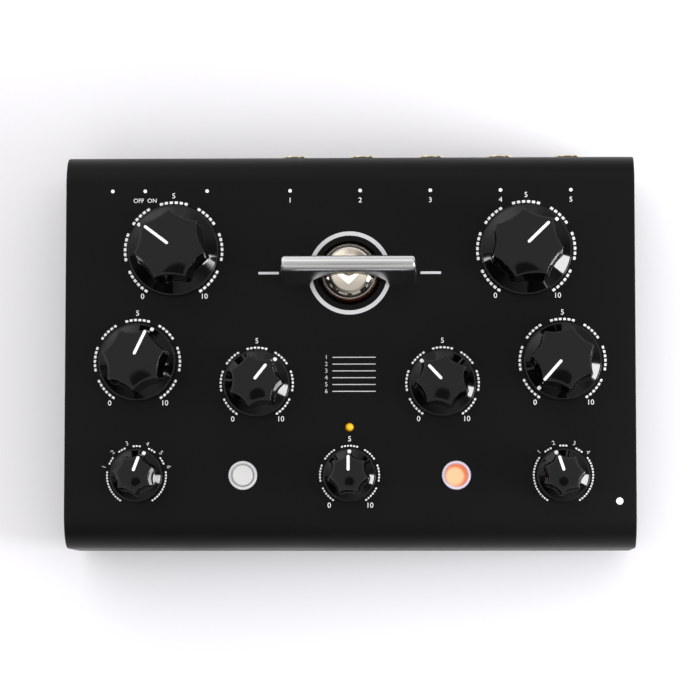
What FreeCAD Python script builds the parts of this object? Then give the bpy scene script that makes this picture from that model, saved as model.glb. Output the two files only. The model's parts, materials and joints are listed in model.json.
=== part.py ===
import FreeCAD, Part
import math
import os

# Stereo delay with a valve stage, in a folded sheet-metal desktop case.
# Sizes are in millimetres and angles in degrees.
# X runs to the right, Y to the rear and Z up. Places are measured from the middle of the case,
# and heights from the surface that the feet stand on.

# Case
case_width = 206.0
case_depth = 142.5
case_height = 52.0
sheet = 1.5
front_bend_radius = 12.0
rear_bend_radius = 10.5
lower_bend_radius = 2.5
side_edge_radius = 0.6
flange_length = 18.0
tray_gap = 0.2
tray_inset = 0.5
tray_bend_radius = 2.5

# Feet, and the screws that close the case through them
foot_height = 5.0
foot_radius = 9.0
foot_edge = 1.0
foot_side_room = 28.6
foot_margin = 0.6
foot_floor = 2.5
foot_recess_gap = 0.6
screw_radius = 1.45
screw_head_radius = 2.8
screw_head_height = 1.9
screw_socket_flats = 2.0
screw_socket_depth = 1.1
screw_gap = 0.15
thread_gap = 0.05
case_screw_tail = 0.9
clinch_head_radius = 3.2
clinch_head_height = 1.6
clinch_shank_radius = 2.1
press_gap = 0.02

# Boards; rooms are from a board's edge to the outside of the case
board_thickness = 1.6
standoff_height = 5.0
standoff_flats = 5.5
standoff_floor = 0.75
board_screw_grip = 3.4
main_board_side_room = 7.0
main_board_front_room = 9.25
main_board_rear_room = 3.25
standoff_margin = 6.0
standoff_front_margin = 14.0
standoff_rear_margin = 34.0
standoff_middle = (32.0, -8.0)
control_board_side_room = 10.0
control_board_front_room = 13.25
control_board_rear_room = 21.25

# Dials: places on the panel; rooms are from a dial's axis to the outside of the case
large_side_room = 39.2
large_rear_room = 35.15
medium_side_room = 26.3
medium_y = -4.4
small_x = 33.5
small_y = -12.2
row_front_room = 25.95
row_side_room = 26.2

# Dials: potentiometers, rotary switches and what clamps them
control_height = 9.0
pot_radius = 8.3
switch_side = 18.0
housing_wall = 1.5
wafer_thickness = 1.2
rotor_thickness = 1.5
rotor_gap = 0.5
bushing_wall = 0.4
bushing_reach = 3.6
bushing_gap = 0.15
shaft_radius = 3.0
shaft_reach = 13.5
running_gap = 0.05
washer_radius = 5.7
washer_thickness = 0.5
nut_flats = 10.0
nut_thickness = 2.0

# Knobs: heights are above the panel, and a mould's crown is the thickness over its bore
flute_count = 7
flute_draft = 2.5
dome_rise = 1.0
knob_gap = 0.8
skirt_edge = 1.8
skirt_land = 0.6
nut_room = 0.4
shaft_room = 0.3
mark_width = 0.95
mark_depth = 0.3
skirt_mark_margin = 0.4
skirt_mark_length = 1.3
set_screw_height = 8.6
set_screw_length = 2.4
large_knob = {"skirt": 16.5, "ridge": 12.9, "sag": 0.9, "crown": 7.7, "mark_start": 0.3, "mark_margin": 1.9}
medium_knob = {"skirt": 14.0, "ridge": 11.5, "sag": 1.1, "crown": 6.2, "mark_start": 1.4, "mark_margin": 0.5}
small_knob = {"skirt": 12.0, "ridge": 9.6, "sag": 1.1, "crown": 5.2, "mark_start": 0.3, "mark_margin": 2.4}
mini_knob = {"skirt": 9.5, "ridge": 7.4, "sag": 1.0, "crown": 2.9, "mark_start": 0.9, "mark_margin": 0.9}

# Push buttons
bezel_lip = 0.6
bezel_reach = 1.0
bezel_edge = 0.45
bezel_sleeve_wall = 0.6
bezel_bore_radius = 4.0
bezel_tail = 1.2
cap_gap = 0.2
cap_reach = 1.9
cap_edge = 0.5
cap_flange_lip = 0.4
cap_flange_thickness = 1.0
cap_stop_gap = 0.3
stem_radius = 1.6
button_travel = 1.5
button_case_side = 12.0
button_case_height = 4.5
button_cavity_radius = 4.0
button_cavity_floor = 0.8
button_lid = 1.2

# Indicator light
led_row_gap = 17.4
led_radius = 1.5
led_flange_radius = 1.9
led_flange_thickness = 1.0
led_length = 5.3
led_reach = 1.1
led_gap = 0.1
leg_radius = 0.25
leg_pitch = 2.54
leg_tail = 1.0

# Valve and its socket; heights above the glass seat
valve_rear_room = 3.45
valve_panel_gap = 1.2
valve_board_gap = 2.6
glass_seat_height = 8.4
glass_radius = 10.4
glass_wall = 1.0
glass_foot = 2.0
glass_base = 3.0
glass_shoulder = 38.5
glass_shoulder_radius = 6.0
glass_crown_rise = 7.2
glass_tip_length = 3.3
glass_tip_radius = 1.7
glass_tip_end = 0.8
pin_radius = 0.5
pin_circle_radius = 5.945
pin_count = 9
pin_places = 10
pin_length = 6.4
pin_gap = 0.03
mica_gap = 0.3
mica_thickness = 0.4
lower_mica = 9.0
anode_height = 22.0
anode_half_width = 3.3
anode_half_depth = 4.6
anode_spacing = 8.0
anode_corner = 2.0
anode_wall = 0.4
getter_radius = 3.6
getter_wire = 0.45
getter_post = 0.36
getter_rise = 3.2
socket_radius = 11.0
socket_gap = 0.2
socket_centre_hole = 2.2

# Valve guard: a bridge across the valve
guard_leg = 9.4
guard_thickness = 9.2
guard_bar = 2.1
guard_end_edge = 1.2
arch_side_room = 4.3
arch_room = 2.5
arch_corner = 8.5
arch_slope = 30.0
guard_screw_grip = 6.0
guard_tap_spare = 1.5

# Rear sockets; heights are of their axes above the main board
jack_count = 5
jack_pitch = 25.4
jack_first_x = -21.6
jack_bore_radius = 3.25
jack_depth = 31.0
jack_bushing_radius = 4.6
jack_bushing_reach = 3.6
jack_body_width = 16.0
jack_body_height = 15.2
jack_end_wall = 1.5
jack_nut_radius = 5.8
jack_nut_reach = 4.0
jack_nut_edge = 1.7
jack_nut_lip = 0.3
jack_contact_size = (1.2, 8.0, 5.0)
jack_contact_inset = 8.0
jack_contact_gap = 0.4
dc_side_room = 17.0
dc_axis = 6.5
dc_width = 9.0
dc_length = 13.5
dc_height = 11.0
dc_snout_radius = 4.1
dc_bore_radius = 3.2
dc_bore_depth = 10.5
dc_pin_radius = 1.05
dc_pin_setback = 1.0
power_midi_pitch = 22.5
midi_axis = 10.0
midi_width = 18.6
midi_height = 19.6
midi_length = 12.0
midi_snout_radius = 7.7
midi_snout_reach = 0.8
midi_shell_wall = 0.8
midi_slot_width = 1.2
midi_slot_depth = 8.5
midi_contact_radius = 0.75
midi_contact_circle = 3.75
midi_contact_count = 5
midi_contact_step = 45.0
midi_contact_setback = 4.0
midi_tail = 1.5
panel_hole_gap = 0.15
dc_power_pitch = 11.8
power_axis = 6.0
power_case_width = 13.0
power_case_length = 6.6
power_case_height = 10.0
power_case_wall = 1.0
power_travel = 4.0
slider_width = 4.0
slider_height = 3.4
slider_reach = 1.4
slider_collar_width = 6.0
slider_collar_height = 6.0
slider_collar_length = 3.0
slider_gap = 0.15

# Board parts and the ribbon between the boards
header_led_room = 1.7
header_end_wall = 0.5
header_width = 8.8
header_height = 10.5
ribbon_width = 25.0
ribbon_thickness = 0.9
ribbon_bend = 4.0
ribbon_run = 5.0
ribbon_tail = 0.4
ribbon_height = 7.4
ribbon_slot_gap = 0.1
can_radius = 4.0
can_height = 11.5
can_edge = 0.5
can_places = [(-60.0, -20.0), (-50.0, -20.0), (52.0, -20.0), (62.0, -20.0), (-18.0, 12.0), (18.0, 12.0)]
chip_height = 1.6
chips = [(-70.0, 10.0, 10.0, 10.0), (70.0, 10.0, 10.0, 10.0), (-8.0, -8.0, 9.0, 6.0),
         (40.0, -44.0, 12.0, 12.0), (-44.0, -44.0, 7.5, 5.0), (62.0, -44.0, 7.5, 5.0)]

# How far a cutting tool runs past the face that it opens
past = 1.0

# Levels, walls and places that follow from the sizes above: the case
half_width = case_width / 2
half_depth = case_depth / 2
tray_under = foot_height
tray_top = tray_under + sheet
flange_top = tray_top + sheet
panel_top = tray_under + case_height
panel_under = panel_top - sheet
rear_inside = half_depth - sheet
foot_x = half_width - foot_side_room
foot_recess_radius = screw_head_radius + foot_recess_gap
foot_recess_top = foot_height - foot_floor
case_screw_length = flange_top + clinch_head_height + case_screw_tail - foot_recess_top
rear_shift = -jack_nut_reach / 2

# The boards
main_board_under = tray_top + standoff_height
main_board_top = main_board_under + board_thickness
main_board_half = half_width - main_board_side_room
main_board_front = -half_depth + main_board_front_room
main_board_rear = half_depth - main_board_rear_room
control_board_top = panel_under - control_height
control_board_under = control_board_top - board_thickness
control_board_half = half_width - control_board_side_room
control_board_front = -half_depth + control_board_front_room
control_board_rear = half_depth - control_board_rear_room
header_length = ribbon_width + 2 * header_end_wall

# The dials, the buttons and the light
wafer_top = control_board_top + wafer_thickness
rotor_under = wafer_top + rotor_gap
cavity_top = rotor_under + rotor_thickness + rotor_gap
bushing_top = panel_top + bushing_reach
bushing_radius = shaft_radius + running_gap + bushing_wall
shaft_top = panel_top + shaft_reach
large_x = half_width - large_side_room
large_y = half_depth - large_rear_room
medium_x = half_width - medium_side_room
row_y = -half_depth + row_front_room
row_pitch = (half_width - row_side_room) / 2
button_x = row_pitch
bezel_sleeve_radius = bezel_bore_radius + bezel_sleeve_wall
bezel_radius = bezel_sleeve_radius + bezel_lip
cap_flange_radius = bezel_bore_radius + cap_flange_lip
led_y = row_y + led_row_gap
header_y = led_y - header_led_room - header_width / 2

# The rear sockets and the power switch
jack_z = main_board_top + jack_body_height / 2
jack_front = half_depth + jack_bushing_reach - jack_depth - jack_end_wall
dc_x = -half_width + dc_side_room
dc_z = main_board_top + dc_axis
power_x = dc_x + dc_power_pitch
power_z = main_board_top + power_axis
slider_x = power_x + power_travel / 2
midi_x = power_x + power_midi_pitch
midi_z = main_board_top + midi_axis
midi_slot_outer = midi_snout_radius - midi_shell_wall
midi_slot_inner = midi_slot_outer - midi_slot_width

# The valve, in front of the jack sockets, and its guard
valve_y = jack_front - valve_rear_room - socket_radius
valve_panel_radius = glass_radius + valve_panel_gap
valve_board_radius = glass_radius + valve_board_gap
mica_radius = glass_radius - glass_wall - mica_gap
glass_seat = main_board_top + glass_seat_height
glass_crown = glass_shoulder + glass_crown_rise
glass_tip = glass_crown + glass_tip_length
arch_half_width = glass_radius + arch_side_room
arch_height = glass_seat + glass_tip + arch_room - panel_top
guard_length = 2 * (arch_half_width + guard_leg)
guard_wall = arch_height + guard_bar - guard_thickness / 2
guard_screw_x = arch_half_width + guard_leg / 2

jack_places = [jack_first_x + index * jack_pitch for index in range(jack_count)]
standoff_x = main_board_half - standoff_margin
standoff_front = main_board_front + standoff_front_margin
standoff_rear = main_board_rear - standoff_rear_margin
standoff_places = [(-standoff_x, standoff_front), (standoff_x, standoff_front),
                   (-standoff_x, standoff_rear), (standoff_x, standoff_rear),
                   (-standoff_middle[0], standoff_middle[1]), standoff_middle]

dials = [
    {"name": "delay_time", "x": -large_x, "y": large_y, "knob": large_knob, "pointer": -53.0, "steps": 0},
    {"name": "cutoff", "x": large_x, "y": large_y, "knob": large_knob, "pointer": 45.5, "steps": 0},
    {"name": "feedback", "x": -medium_x, "y": medium_y, "knob": medium_knob, "pointer": 25.0, "steps": 0},
    {"name": "drive", "x": medium_x, "y": medium_y, "knob": medium_knob, "pointer": -138.5, "steps": 0},
    {"name": "dry_wet", "x": -small_x, "y": small_y, "knob": small_knob, "pointer": 38.0, "steps": 0},
    {"name": "resonance", "x": small_x, "y": small_y, "knob": small_knob, "pointer": -43.0, "steps": 0},
    {"name": "delay_mode", "x": -2 * row_pitch, "y": row_y, "knob": mini_knob, "pointer": 20.0, "steps": 6},
    {"name": "in_level", "x": 0.0, "y": row_y, "knob": mini_knob, "pointer": 0.0, "steps": 0},
    {"name": "filter_mode", "x": 2 * row_pitch, "y": row_y, "knob": mini_knob, "pointer": -18.0, "steps": 4},
]


def vector(x, y, z):
    return FreeCAD.Vector(x, y, z)


def block(x0, x1, y0, y1, z0, z1):
    """A box between two corners."""
    return Part.makeBox(x1 - x0, y1 - y0, z1 - z0, vector(x0, y0, z0))


def post(x, y, z0, z1, radius):
    """An upright cylinder."""
    return Part.makeCylinder(radius, z1 - z0, vector(x, y, z0))


def rod(x, z, y0, y1, radius):
    """A cylinder that runs to the rear."""
    return Part.makeCylinder(radius, y1 - y0, vector(x, y0, z), vector(0, 1, 0))


def ring(x, y, z0, z1, outer, inner):
    """An upright tube."""
    return post(x, y, z0, z1, outer).cut(post(x, y, z0 - past, z1 + past, inner))


def joined(shapes):
    """One solid made of overlapping or touching shapes."""
    whole = shapes[0].fuse(shapes[1:])
    return whole.removeSplitter()


def turned(corners):
    """A solid of revolution about Z from (radius, height) corners; a third value is an arc's middle point."""
    edges = []
    count = len(corners)
    for index in range(count):
        start = corners[index]
        end = corners[(index + 1) % count]
        first = vector(start[0], 0, start[1])
        last = vector(end[0], 0, end[1])
        if len(end) == 3:
            middle = vector(end[2][0], 0, end[2][1])
            edges.append(Part.Arc(first, middle, last).toShape())
        else:
            edges.append(Part.LineSegment(first, last).toShape())
    face = Part.Face(Part.Wire(edges))
    return face.revolve(vector(0, 0, 0), vector(0, 0, 1), 360)


def rounded_rectangle(a0, a1, b0, b1, radii, place):
    """A face with its own radius at each corner, in the order low-low, low-high, high-high, high-low."""
    corners = [(a0, b0, 1, 1), (a0, b1, 1, -1), (a1, b1, -1, -1), (a1, b0, -1, 1)]
    ends = []
    for (a, b, side_a, side_b), radius in zip(corners, radii):
        slant = radius * (1 - math.sqrt(0.5))
        along_a = (a + side_a * radius, b)
        along_b = (a, b + side_b * radius)
        middle = (a + side_a * slant, b + side_b * slant)
        ends.append((along_a, middle, along_b, radius))
    order = [(ends[0][0], ends[0][1], ends[0][2]), (ends[1][2], ends[1][1], ends[1][0]),
             (ends[2][0], ends[2][1], ends[2][2]), (ends[3][2], ends[3][1], ends[3][0])]
    edges = []
    for index in range(4):
        start, middle, end = order[index]
        if ends[index][3] > 0:
            edges.append(Part.Arc(place(*start), place(*middle), place(*end)).toShape())
        following = order[(index + 1) % 4][0]
        edges.append(Part.LineSegment(place(*end), place(*following)).toShape())
    return Part.Face(Part.Wire(edges))


def across_case(y0, y1, z0, z1, radii, reach):
    """A bar along X whose section has rounded corners."""
    face = rounded_rectangle(y0, y1, z0, z1, radii, lambda a, b: vector(-reach, a, b))
    return face.extrude(vector(2 * reach, 0, 0))


def hexagon(x, y, z0, z1, flats):
    """An upright hexagonal prism, given its size across flats."""
    radius = flats / math.sqrt(3)
    corners = []
    for side in range(7):
        angle = math.radians(60 * side)
        corners.append(vector(x + radius * math.cos(angle), y + radius * math.sin(angle), z0))
    return Part.Face(Part.makePolygon(corners)).extrude(vector(0, 0, z1 - z0))


def cap_screw(x, y, seat, length, direction):
    """A screw whose head bears on the level seat and whose shank points up (1) or down (-1)."""
    shank_end = seat + direction * length
    head_end = seat - direction * screw_head_height
    shank = post(x, y, min(seat, shank_end), max(seat, shank_end), screw_radius)
    head = post(x, y, min(seat, head_end), max(seat, head_end), screw_head_radius)
    socket_inner = head_end + direction * screw_socket_depth
    socket_outer = head_end - direction * past
    low = min(socket_inner, socket_outer)
    high = max(socket_inner, socket_outer)
    return joined([head, shank]).cut(hexagon(x, y, low, high, screw_socket_flats))


def save(node, solids):
    """Write one node; everything moves so that the origin lies under the middle of the whole box."""
    shapes = [solid.copy() for solid in solids]
    shape = shapes[0] if len(shapes) == 1 else Part.makeCompound(shapes)
    shape.translate(vector(0, rear_shift, 0))
    if not shape.isValid():
        print("not valid:", node)
    print(node, len(shape.Solids), round(shape.Volume, 1))
    shape.exportStep("parts/" + node + ".step")


def foot_places():
    """Centres of the four feet and of the screws in them."""
    y = half_depth - foot_margin - foot_radius
    return [(-foot_x, -y), (foot_x, -y), (-foot_x, y), (foot_x, y)]


def panel_hole(x, y, radius):
    return post(x, y, panel_under - past, panel_top + past, radius)


def wall_hole(x, z, radius):
    return rod(x, z, rear_inside - past, half_depth + past, radius)


def top_cover():
    """Panel, front wall and rear wall in one folded sheet, with a flange at the foot of each wall."""
    outer_radii = [lower_bend_radius, front_bend_radius, rear_bend_radius, lower_bend_radius]
    inner_radii = [radius - sheet for radius in outer_radii]
    outer = across_case(-half_depth, half_depth, tray_top, panel_top, outer_radii, half_width)
    end_edges = [edge for edge in outer.Edges if edge.BoundBox.XLength < 0.001]
    outer = outer.makeFillet(side_edge_radius, end_edges)
    beyond = half_width + past
    inner = across_case(-rear_inside, rear_inside, flange_top, panel_under, inner_radii, beyond)
    flange_end = half_depth - flange_length
    cuts = [inner, block(-beyond, beyond, -flange_end, flange_end, tray_top - past, flange_top)]
    flange_side = half_width - tray_inset - tray_bend_radius - tray_gap
    notch_top = tray_top + lower_bend_radius + sheet
    for side in (-1, 1):
        low = min(side * flange_side, side * beyond)
        high = max(side * flange_side, side * beyond)
        cuts.append(block(low, high, -rear_inside, rear_inside, tray_top - past, notch_top))
        cuts.append(panel_hole(side * button_x, row_y, bezel_sleeve_radius + press_gap))
        cuts.append(panel_hole(side * guard_screw_x, valve_y, screw_radius + screw_gap))
    for dial in dials:
        cuts.append(panel_hole(dial["x"], dial["y"], bushing_radius + bushing_gap))
    cuts.append(panel_hole(0, led_y, led_radius + led_gap))
    cuts.append(panel_hole(0, valve_y, valve_panel_radius))
    for x in jack_places:
        cuts.append(wall_hole(x, jack_z, jack_bushing_radius + panel_hole_gap))
    cuts.append(wall_hole(dc_x, dc_z, dc_snout_radius + panel_hole_gap))
    cuts.append(wall_hole(midi_x, midi_z, midi_snout_radius + panel_hole_gap))
    cuts.append(slider_room(rear_inside - past, half_depth + past))
    for x, y in foot_places():
        cuts.append(post(x, y, tray_top - past, flange_top + past, clinch_shank_radius + press_gap))
    return outer.cut(cuts)


def slider_room(y0, y1):
    """The window that the power slider travels in, between two depths."""
    half_window = (slider_width + power_travel) / 2 + slider_gap
    half_window_height = slider_height / 2 + slider_gap
    return block(power_x - half_window, power_x + half_window, y0, y1,
                 power_z - half_window_height, power_z + half_window_height)


def base_tray():
    """Bottom plate and side walls in one folded sheet, inside the cover's outline."""
    outer_x = half_width - tray_inset
    inner_x = outer_x - sheet
    front = -half_depth + sheet + tray_gap
    rear = rear_inside - tray_gap
    high = panel_top + past

    def place(a, b):
        return vector(a, front, b)

    bend = [tray_bend_radius, 0, 0, tray_bend_radius]
    inner_bend = [tray_bend_radius - sheet, 0, 0, tray_bend_radius - sheet]
    run = vector(0, rear - front, 0)
    outer = rounded_rectangle(-outer_x, outer_x, tray_under, high, bend, place).extrude(run)
    inner = rounded_rectangle(-inner_x, inner_x, tray_top, high + past, inner_bend, place).extrude(run)
    upper_radii = [0, front_bend_radius - sheet - tray_gap, rear_bend_radius - sheet - tray_gap, 0]
    limit = across_case(front, rear, tray_under, panel_under - tray_gap, upper_radii, half_width)
    tray = outer.cut(inner).common(limit)
    holes = []
    for x, y in foot_places():
        holes.append(post(x, y, tray_under - past, tray_top + past, screw_radius + screw_gap))
    for x, y in standoff_places:
        holes.append(post(x, y, tray_under - past, tray_top + past, clinch_shank_radius + press_gap))
    return tray.cut(holes)


def clinch_nut(x, y):
    """A nut pressed into the cover's flange from above."""
    shank = post(x, y, tray_top, flange_top, clinch_shank_radius)
    head = post(x, y, flange_top, flange_top + clinch_head_height, clinch_head_radius)
    hole = post(x, y, tray_top - past, flange_top + clinch_head_height + past, screw_radius + thread_gap)
    return joined([shank, head]).cut(hole)


def rubber_foot(x, y):
    """A round foot with a recess for the screw head."""
    foot = turned([(0, 0), (foot_radius - foot_edge, 0), (foot_radius, foot_edge), (foot_radius, foot_height),
                   (0, foot_height)])
    foot.translate(vector(x, y, 0))
    recess = post(x, y, -past, foot_recess_top, foot_recess_radius)
    hole = post(x, y, -past, foot_height + past, screw_radius + screw_gap)
    return foot.cut([recess, hole])


def standoff(x, y):
    """A hexagonal spacer pressed into the tray."""
    column = hexagon(x, y, tray_top, main_board_under, standoff_flats)
    shank = post(x, y, tray_under, tray_top, clinch_shank_radius)
    hole = post(x, y, tray_under + standoff_floor, main_board_under + past, screw_radius + thread_gap)
    return joined([column, shank]).cut(hole)


def main_board():
    """The lower circuit board, which carries the sockets and the valve."""
    board = block(-main_board_half, main_board_half, main_board_front, main_board_rear,
                  main_board_under, main_board_top)
    holes = [post(x, y, main_board_under - past, main_board_top + past, screw_radius + screw_gap)
             for x, y in standoff_places]
    return board.cut(holes)


def control_board():
    """The upper circuit board, which carries the dials, the buttons and the light."""
    low = control_board_under
    high = control_board_top
    board = block(-control_board_half, control_board_half, control_board_front, control_board_rear, low, high)
    holes = [post(0, valve_y, low - past, high + past, valve_board_radius)]
    for side in (-1, 1):
        holes.append(post(side * leg_pitch / 2, led_y, low - past, high + past, leg_radius + led_gap))
    return board.cut(holes)


def housing_room(dial):
    """Radius of the round room inside a dial's housing."""
    outside = switch_side / 2 if dial["steps"] else pot_radius
    return outside - housing_wall


def dial_housing(dial):
    """Potentiometer or rotary switch housing with its threaded bushing."""
    x = dial["x"]
    y = dial["y"]
    if dial["steps"]:
        half = switch_side / 2
        body = block(x - half, x + half, y - half, y + half, control_board_top, panel_under)
    else:
        body = post(x, y, control_board_top, panel_under, pot_radius)
    bushing = post(x, y, panel_under, bushing_top, bushing_radius)
    room = post(x, y, control_board_top - past, cavity_top, housing_room(dial))
    bore = post(x, y, cavity_top - past, bushing_top + past, shaft_radius + running_gap)
    return joined([body, bushing]).cut([room, bore])


def dial_wafer(dial):
    """The contact wafer that closes the housing from below."""
    return post(dial["x"], dial["y"], control_board_top, wafer_top, housing_room(dial) - press_gap)


def dial_shaft(dial):
    """Shaft with its rotor, and the set screw that clamps the knob on it."""
    x = dial["x"]
    y = dial["y"]
    rotor = post(x, y, rotor_under, rotor_under + rotor_thickness, housing_room(dial) - rotor_gap)
    shaft = post(x, y, rotor_under, shaft_top, shaft_radius)
    screw_end = -shaft_radius
    screw = rod(0, panel_top + set_screw_height, screw_end - set_screw_length, screw_end, screw_radius)
    screw.rotate(vector(0, 0, 0), vector(0, 0, 1), -dial["pointer"])
    screw.translate(vector(x, y, 0))
    return [joined([rotor, shaft]), screw]


def panel_washer(dial):
    return ring(dial["x"], dial["y"], panel_top, panel_top + washer_thickness, washer_radius,
                bushing_radius + thread_gap)


def panel_nut(dial):
    low = panel_top + washer_thickness
    high = low + nut_thickness
    nut = hexagon(dial["x"], dial["y"], low, high, nut_flats)
    return nut.cut(post(dial["x"], dial["y"], low - past, high + past, bushing_radius + thread_gap))


def knob_top(mould):
    """Height of a knob's top above the panel."""
    return shaft_reach + shaft_room + mould["crown"]


def flute_depth(mould):
    """Distance from the axis to the deepest line of a flute."""
    half_step = math.pi / flute_count
    return mould["ridge"] * math.cos(half_step) - mould["sag"]


def knob_skirt(mould):
    """Round skirt whose top runs up in a cove."""
    skirt = mould["skirt"]
    deep = flute_depth(mould)
    low = knob_gap
    land = knob_gap + skirt_edge
    cove = skirt - skirt_land - deep
    slant = cove * math.sqrt(0.5)
    middle = (skirt - skirt_land - slant, land + cove - slant)
    return turned([(0, low), (skirt, low), (skirt, land), (skirt - skirt_land, land),
                   (deep, land + cove, middle), (0, land + cove)])


def knob_drum(mould):
    """Fluted upper part with a slightly domed top."""
    ridge = mould["ridge"]
    top = knob_top(mould)
    sphere = (ridge ** 2 + dome_rise ** 2) / (2 * dome_rise)
    middle = (ridge / 2, top - sphere + math.sqrt(sphere ** 2 - ridge ** 2 / 4))
    drum = turned([(0, knob_gap), (ridge, knob_gap), (ridge, top - dome_rise), (0, top, middle)])
    half_step = math.pi / flute_count
    spread = ridge * math.sin(half_step)
    sag = mould["sag"]
    flute = (sag ** 2 + spread ** 2) / (2 * sag)
    distance = flute_depth(mould) + flute
    tools = []
    for index in range(flute_count):
        tool = post(distance, 0, -past, top + past, flute)
        tool.rotate(vector(distance, 0, top), vector(0, 1, 0), -flute_draft)
        angle = 90 + math.degrees(half_step) * (2 * index + 1)
        tool.rotate(vector(0, 0, 0), vector(0, 0, 1), angle)
        tools.append(tool)
    return drum.cut(tools)


def groove(body, y0, y1):
    """A shallow slot towards +Y that follows the surface of a body."""
    slot = block(-mark_width / 2, mark_width / 2, y0, y1, 0, body.BoundBox.ZMax + past)
    lower = body.copy()
    lower.translate(vector(0, 0, -mark_depth))
    return slot.common(body).cut(lower)


def knob(dial):
    """A knob over its nut and shaft, with its pointer slots turned to the dial's setting."""
    mould = dial["knob"]
    skirt = knob_skirt(mould)
    drum = knob_drum(mould)
    nut_top = washer_thickness + nut_thickness
    nut_recess = post(0, 0, 0, nut_top + nut_room, nut_flats / math.sqrt(3) + nut_room)
    bushing_recess = post(0, 0, 0, bushing_reach + nut_room, bushing_radius + nut_room)
    bore = post(0, 0, 0, shaft_reach + shaft_room, shaft_radius + running_gap)
    screw_hole = rod(0, set_screw_height, -mould["skirt"] - past, 0, screw_radius + thread_gap)
    top_mark = groove(drum, mould["mark_start"], mould["ridge"] - mould["mark_margin"])
    skirt_mark_end = mould["skirt"] - skirt_mark_margin
    skirt_mark = groove(skirt, skirt_mark_end - skirt_mark_length, skirt_mark_end)
    cuts = [nut_recess, bushing_recess, bore, screw_hole, top_mark, skirt_mark]
    body = joined([skirt, drum]).cut(cuts)
    body.rotate(vector(0, 0, 0), vector(0, 0, 1), -dial["pointer"])
    body.translate(vector(dial["x"], dial["y"], panel_top))
    return body


def button_bezel(x):
    """A round bezel with a sleeve through the panel."""
    rim = post(x, row_y, panel_top, panel_top + bezel_reach, bezel_radius)
    upper = [edge for edge in rim.Edges if edge.BoundBox.ZMin > panel_top + bezel_reach - 0.001]
    rim = rim.makeFillet(bezel_edge, upper)
    sleeve = post(x, row_y, panel_under - bezel_tail, panel_top, bezel_sleeve_radius)
    bore = post(x, row_y, panel_under - bezel_tail - past, panel_top + bezel_reach + past, bezel_bore_radius)
    return joined([rim, sleeve]).cut(bore)


def button_cap(x):
    """A cap that slides in its bezel, with a flange as its stop and a stem down to the switch."""
    radius = bezel_bore_radius - cap_gap
    flange_high = panel_under - bezel_tail - cap_stop_gap
    flange_low = flange_high - cap_flange_thickness
    crown = post(x, row_y, flange_low, panel_top + cap_reach, radius)
    upper = [edge for edge in crown.Edges if edge.BoundBox.ZMin > panel_top + cap_reach - 0.001]
    crown = crown.makeFillet(cap_edge, upper)
    flange = post(x, row_y, flange_low, flange_high, cap_flange_radius)
    room_floor = control_board_top + button_cavity_floor
    stem = post(x, row_y, room_floor + button_travel + cap_stop_gap, flange_low, stem_radius)
    return joined([crown, flange, stem])


def button_case(x):
    """The push switch on the control board, with a round room for the end of the stem."""
    half = button_case_side / 2
    low = control_board_top
    high = low + button_case_height
    case = block(x - half, x + half, row_y - half, row_y + half, low, high)
    room = post(x, row_y, low + button_cavity_floor, high - button_lid, button_cavity_radius)
    hole = post(x, row_y, high - button_lid - past, high + past, stem_radius + cap_gap)
    return case.cut([room, hole])


def status_led():
    """A round indicator light with its flange."""
    top = panel_top + led_reach
    low = top - led_length
    body = post(0, led_y, low, top - led_radius, led_radius)
    dome = Part.makeSphere(led_radius, vector(0, led_y, top - led_radius))
    flange = post(0, led_y, low, low + led_flange_thickness, led_flange_radius)
    return joined([body, dome, flange])


def led_leg(side):
    low = control_board_under - leg_tail
    high = panel_top + led_reach - led_length
    return post(side * leg_pitch / 2, led_y, low, high, leg_radius)


def crown_points(radius, shoulder, corner, crown):
    """Join of a corner arc, which starts upright at the shoulder, and a crown arc centred on the axis."""
    rise = crown - shoulder
    offset = radius - corner
    sphere = (rise ** 2 + offset ** 2 - corner ** 2) / (2 * (rise - corner))
    centre = crown - sphere
    span = math.hypot(offset, shoulder - centre)
    join = (sphere * offset / span, centre + sphere * (shoulder - centre) / span)
    lean = math.atan2(shoulder - centre, offset) / 2
    corner_middle = (offset + corner * math.cos(lean), shoulder + corner * math.sin(lean))
    return join, corner_middle, sphere, centre


def crown_point(radius, sphere, centre):
    return (radius, centre + math.sqrt(sphere ** 2 - radius ** 2))


def valve_envelope():
    """The glass: a flat foot, a straight wall, a rounded crown and a small tip."""
    join, corner_middle, sphere, centre = crown_points(glass_radius, glass_shoulder, glass_shoulder_radius,
                                                       glass_crown)
    root = crown_point(glass_tip_radius, sphere, centre)
    between = crown_point((join[0] + glass_tip_radius) / 2, sphere, centre)
    tip_side = (glass_tip_end, glass_tip - glass_tip_end)
    tip_slant = glass_tip_end * (1 - math.sqrt(0.5))
    tip_middle = (glass_tip_end - tip_slant, glass_tip - tip_slant)
    foot_slant = glass_foot * (1 - math.sqrt(0.5))
    outer = turned([(0, 0), (glass_radius - glass_foot, 0),
                    (glass_radius, glass_foot, (glass_radius - foot_slant, foot_slant)),
                    (glass_radius, glass_shoulder), join + (corner_middle,), root + (between,), tip_side,
                    (0, glass_tip, tip_middle)])
    inside = glass_radius - glass_wall
    corner = glass_shoulder_radius - glass_wall
    ceiling = glass_crown - glass_wall
    join, corner_middle, sphere, centre = crown_points(inside, glass_shoulder, corner, ceiling)
    between = crown_point(join[0] / 2, sphere, centre)
    inner = turned([(0, glass_base), (inside, glass_base), (inside, glass_shoulder), join + (corner_middle,),
                    (0, ceiling, between)])
    glass = outer.cut(inner)
    glass.translate(vector(0, valve_y, glass_seat))
    holes = [post(x, y, glass_seat - past, glass_seat + glass_base + past, pin_radius + pin_gap)
             for x, y in pin_centres()]
    return glass.cut(holes)


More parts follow.
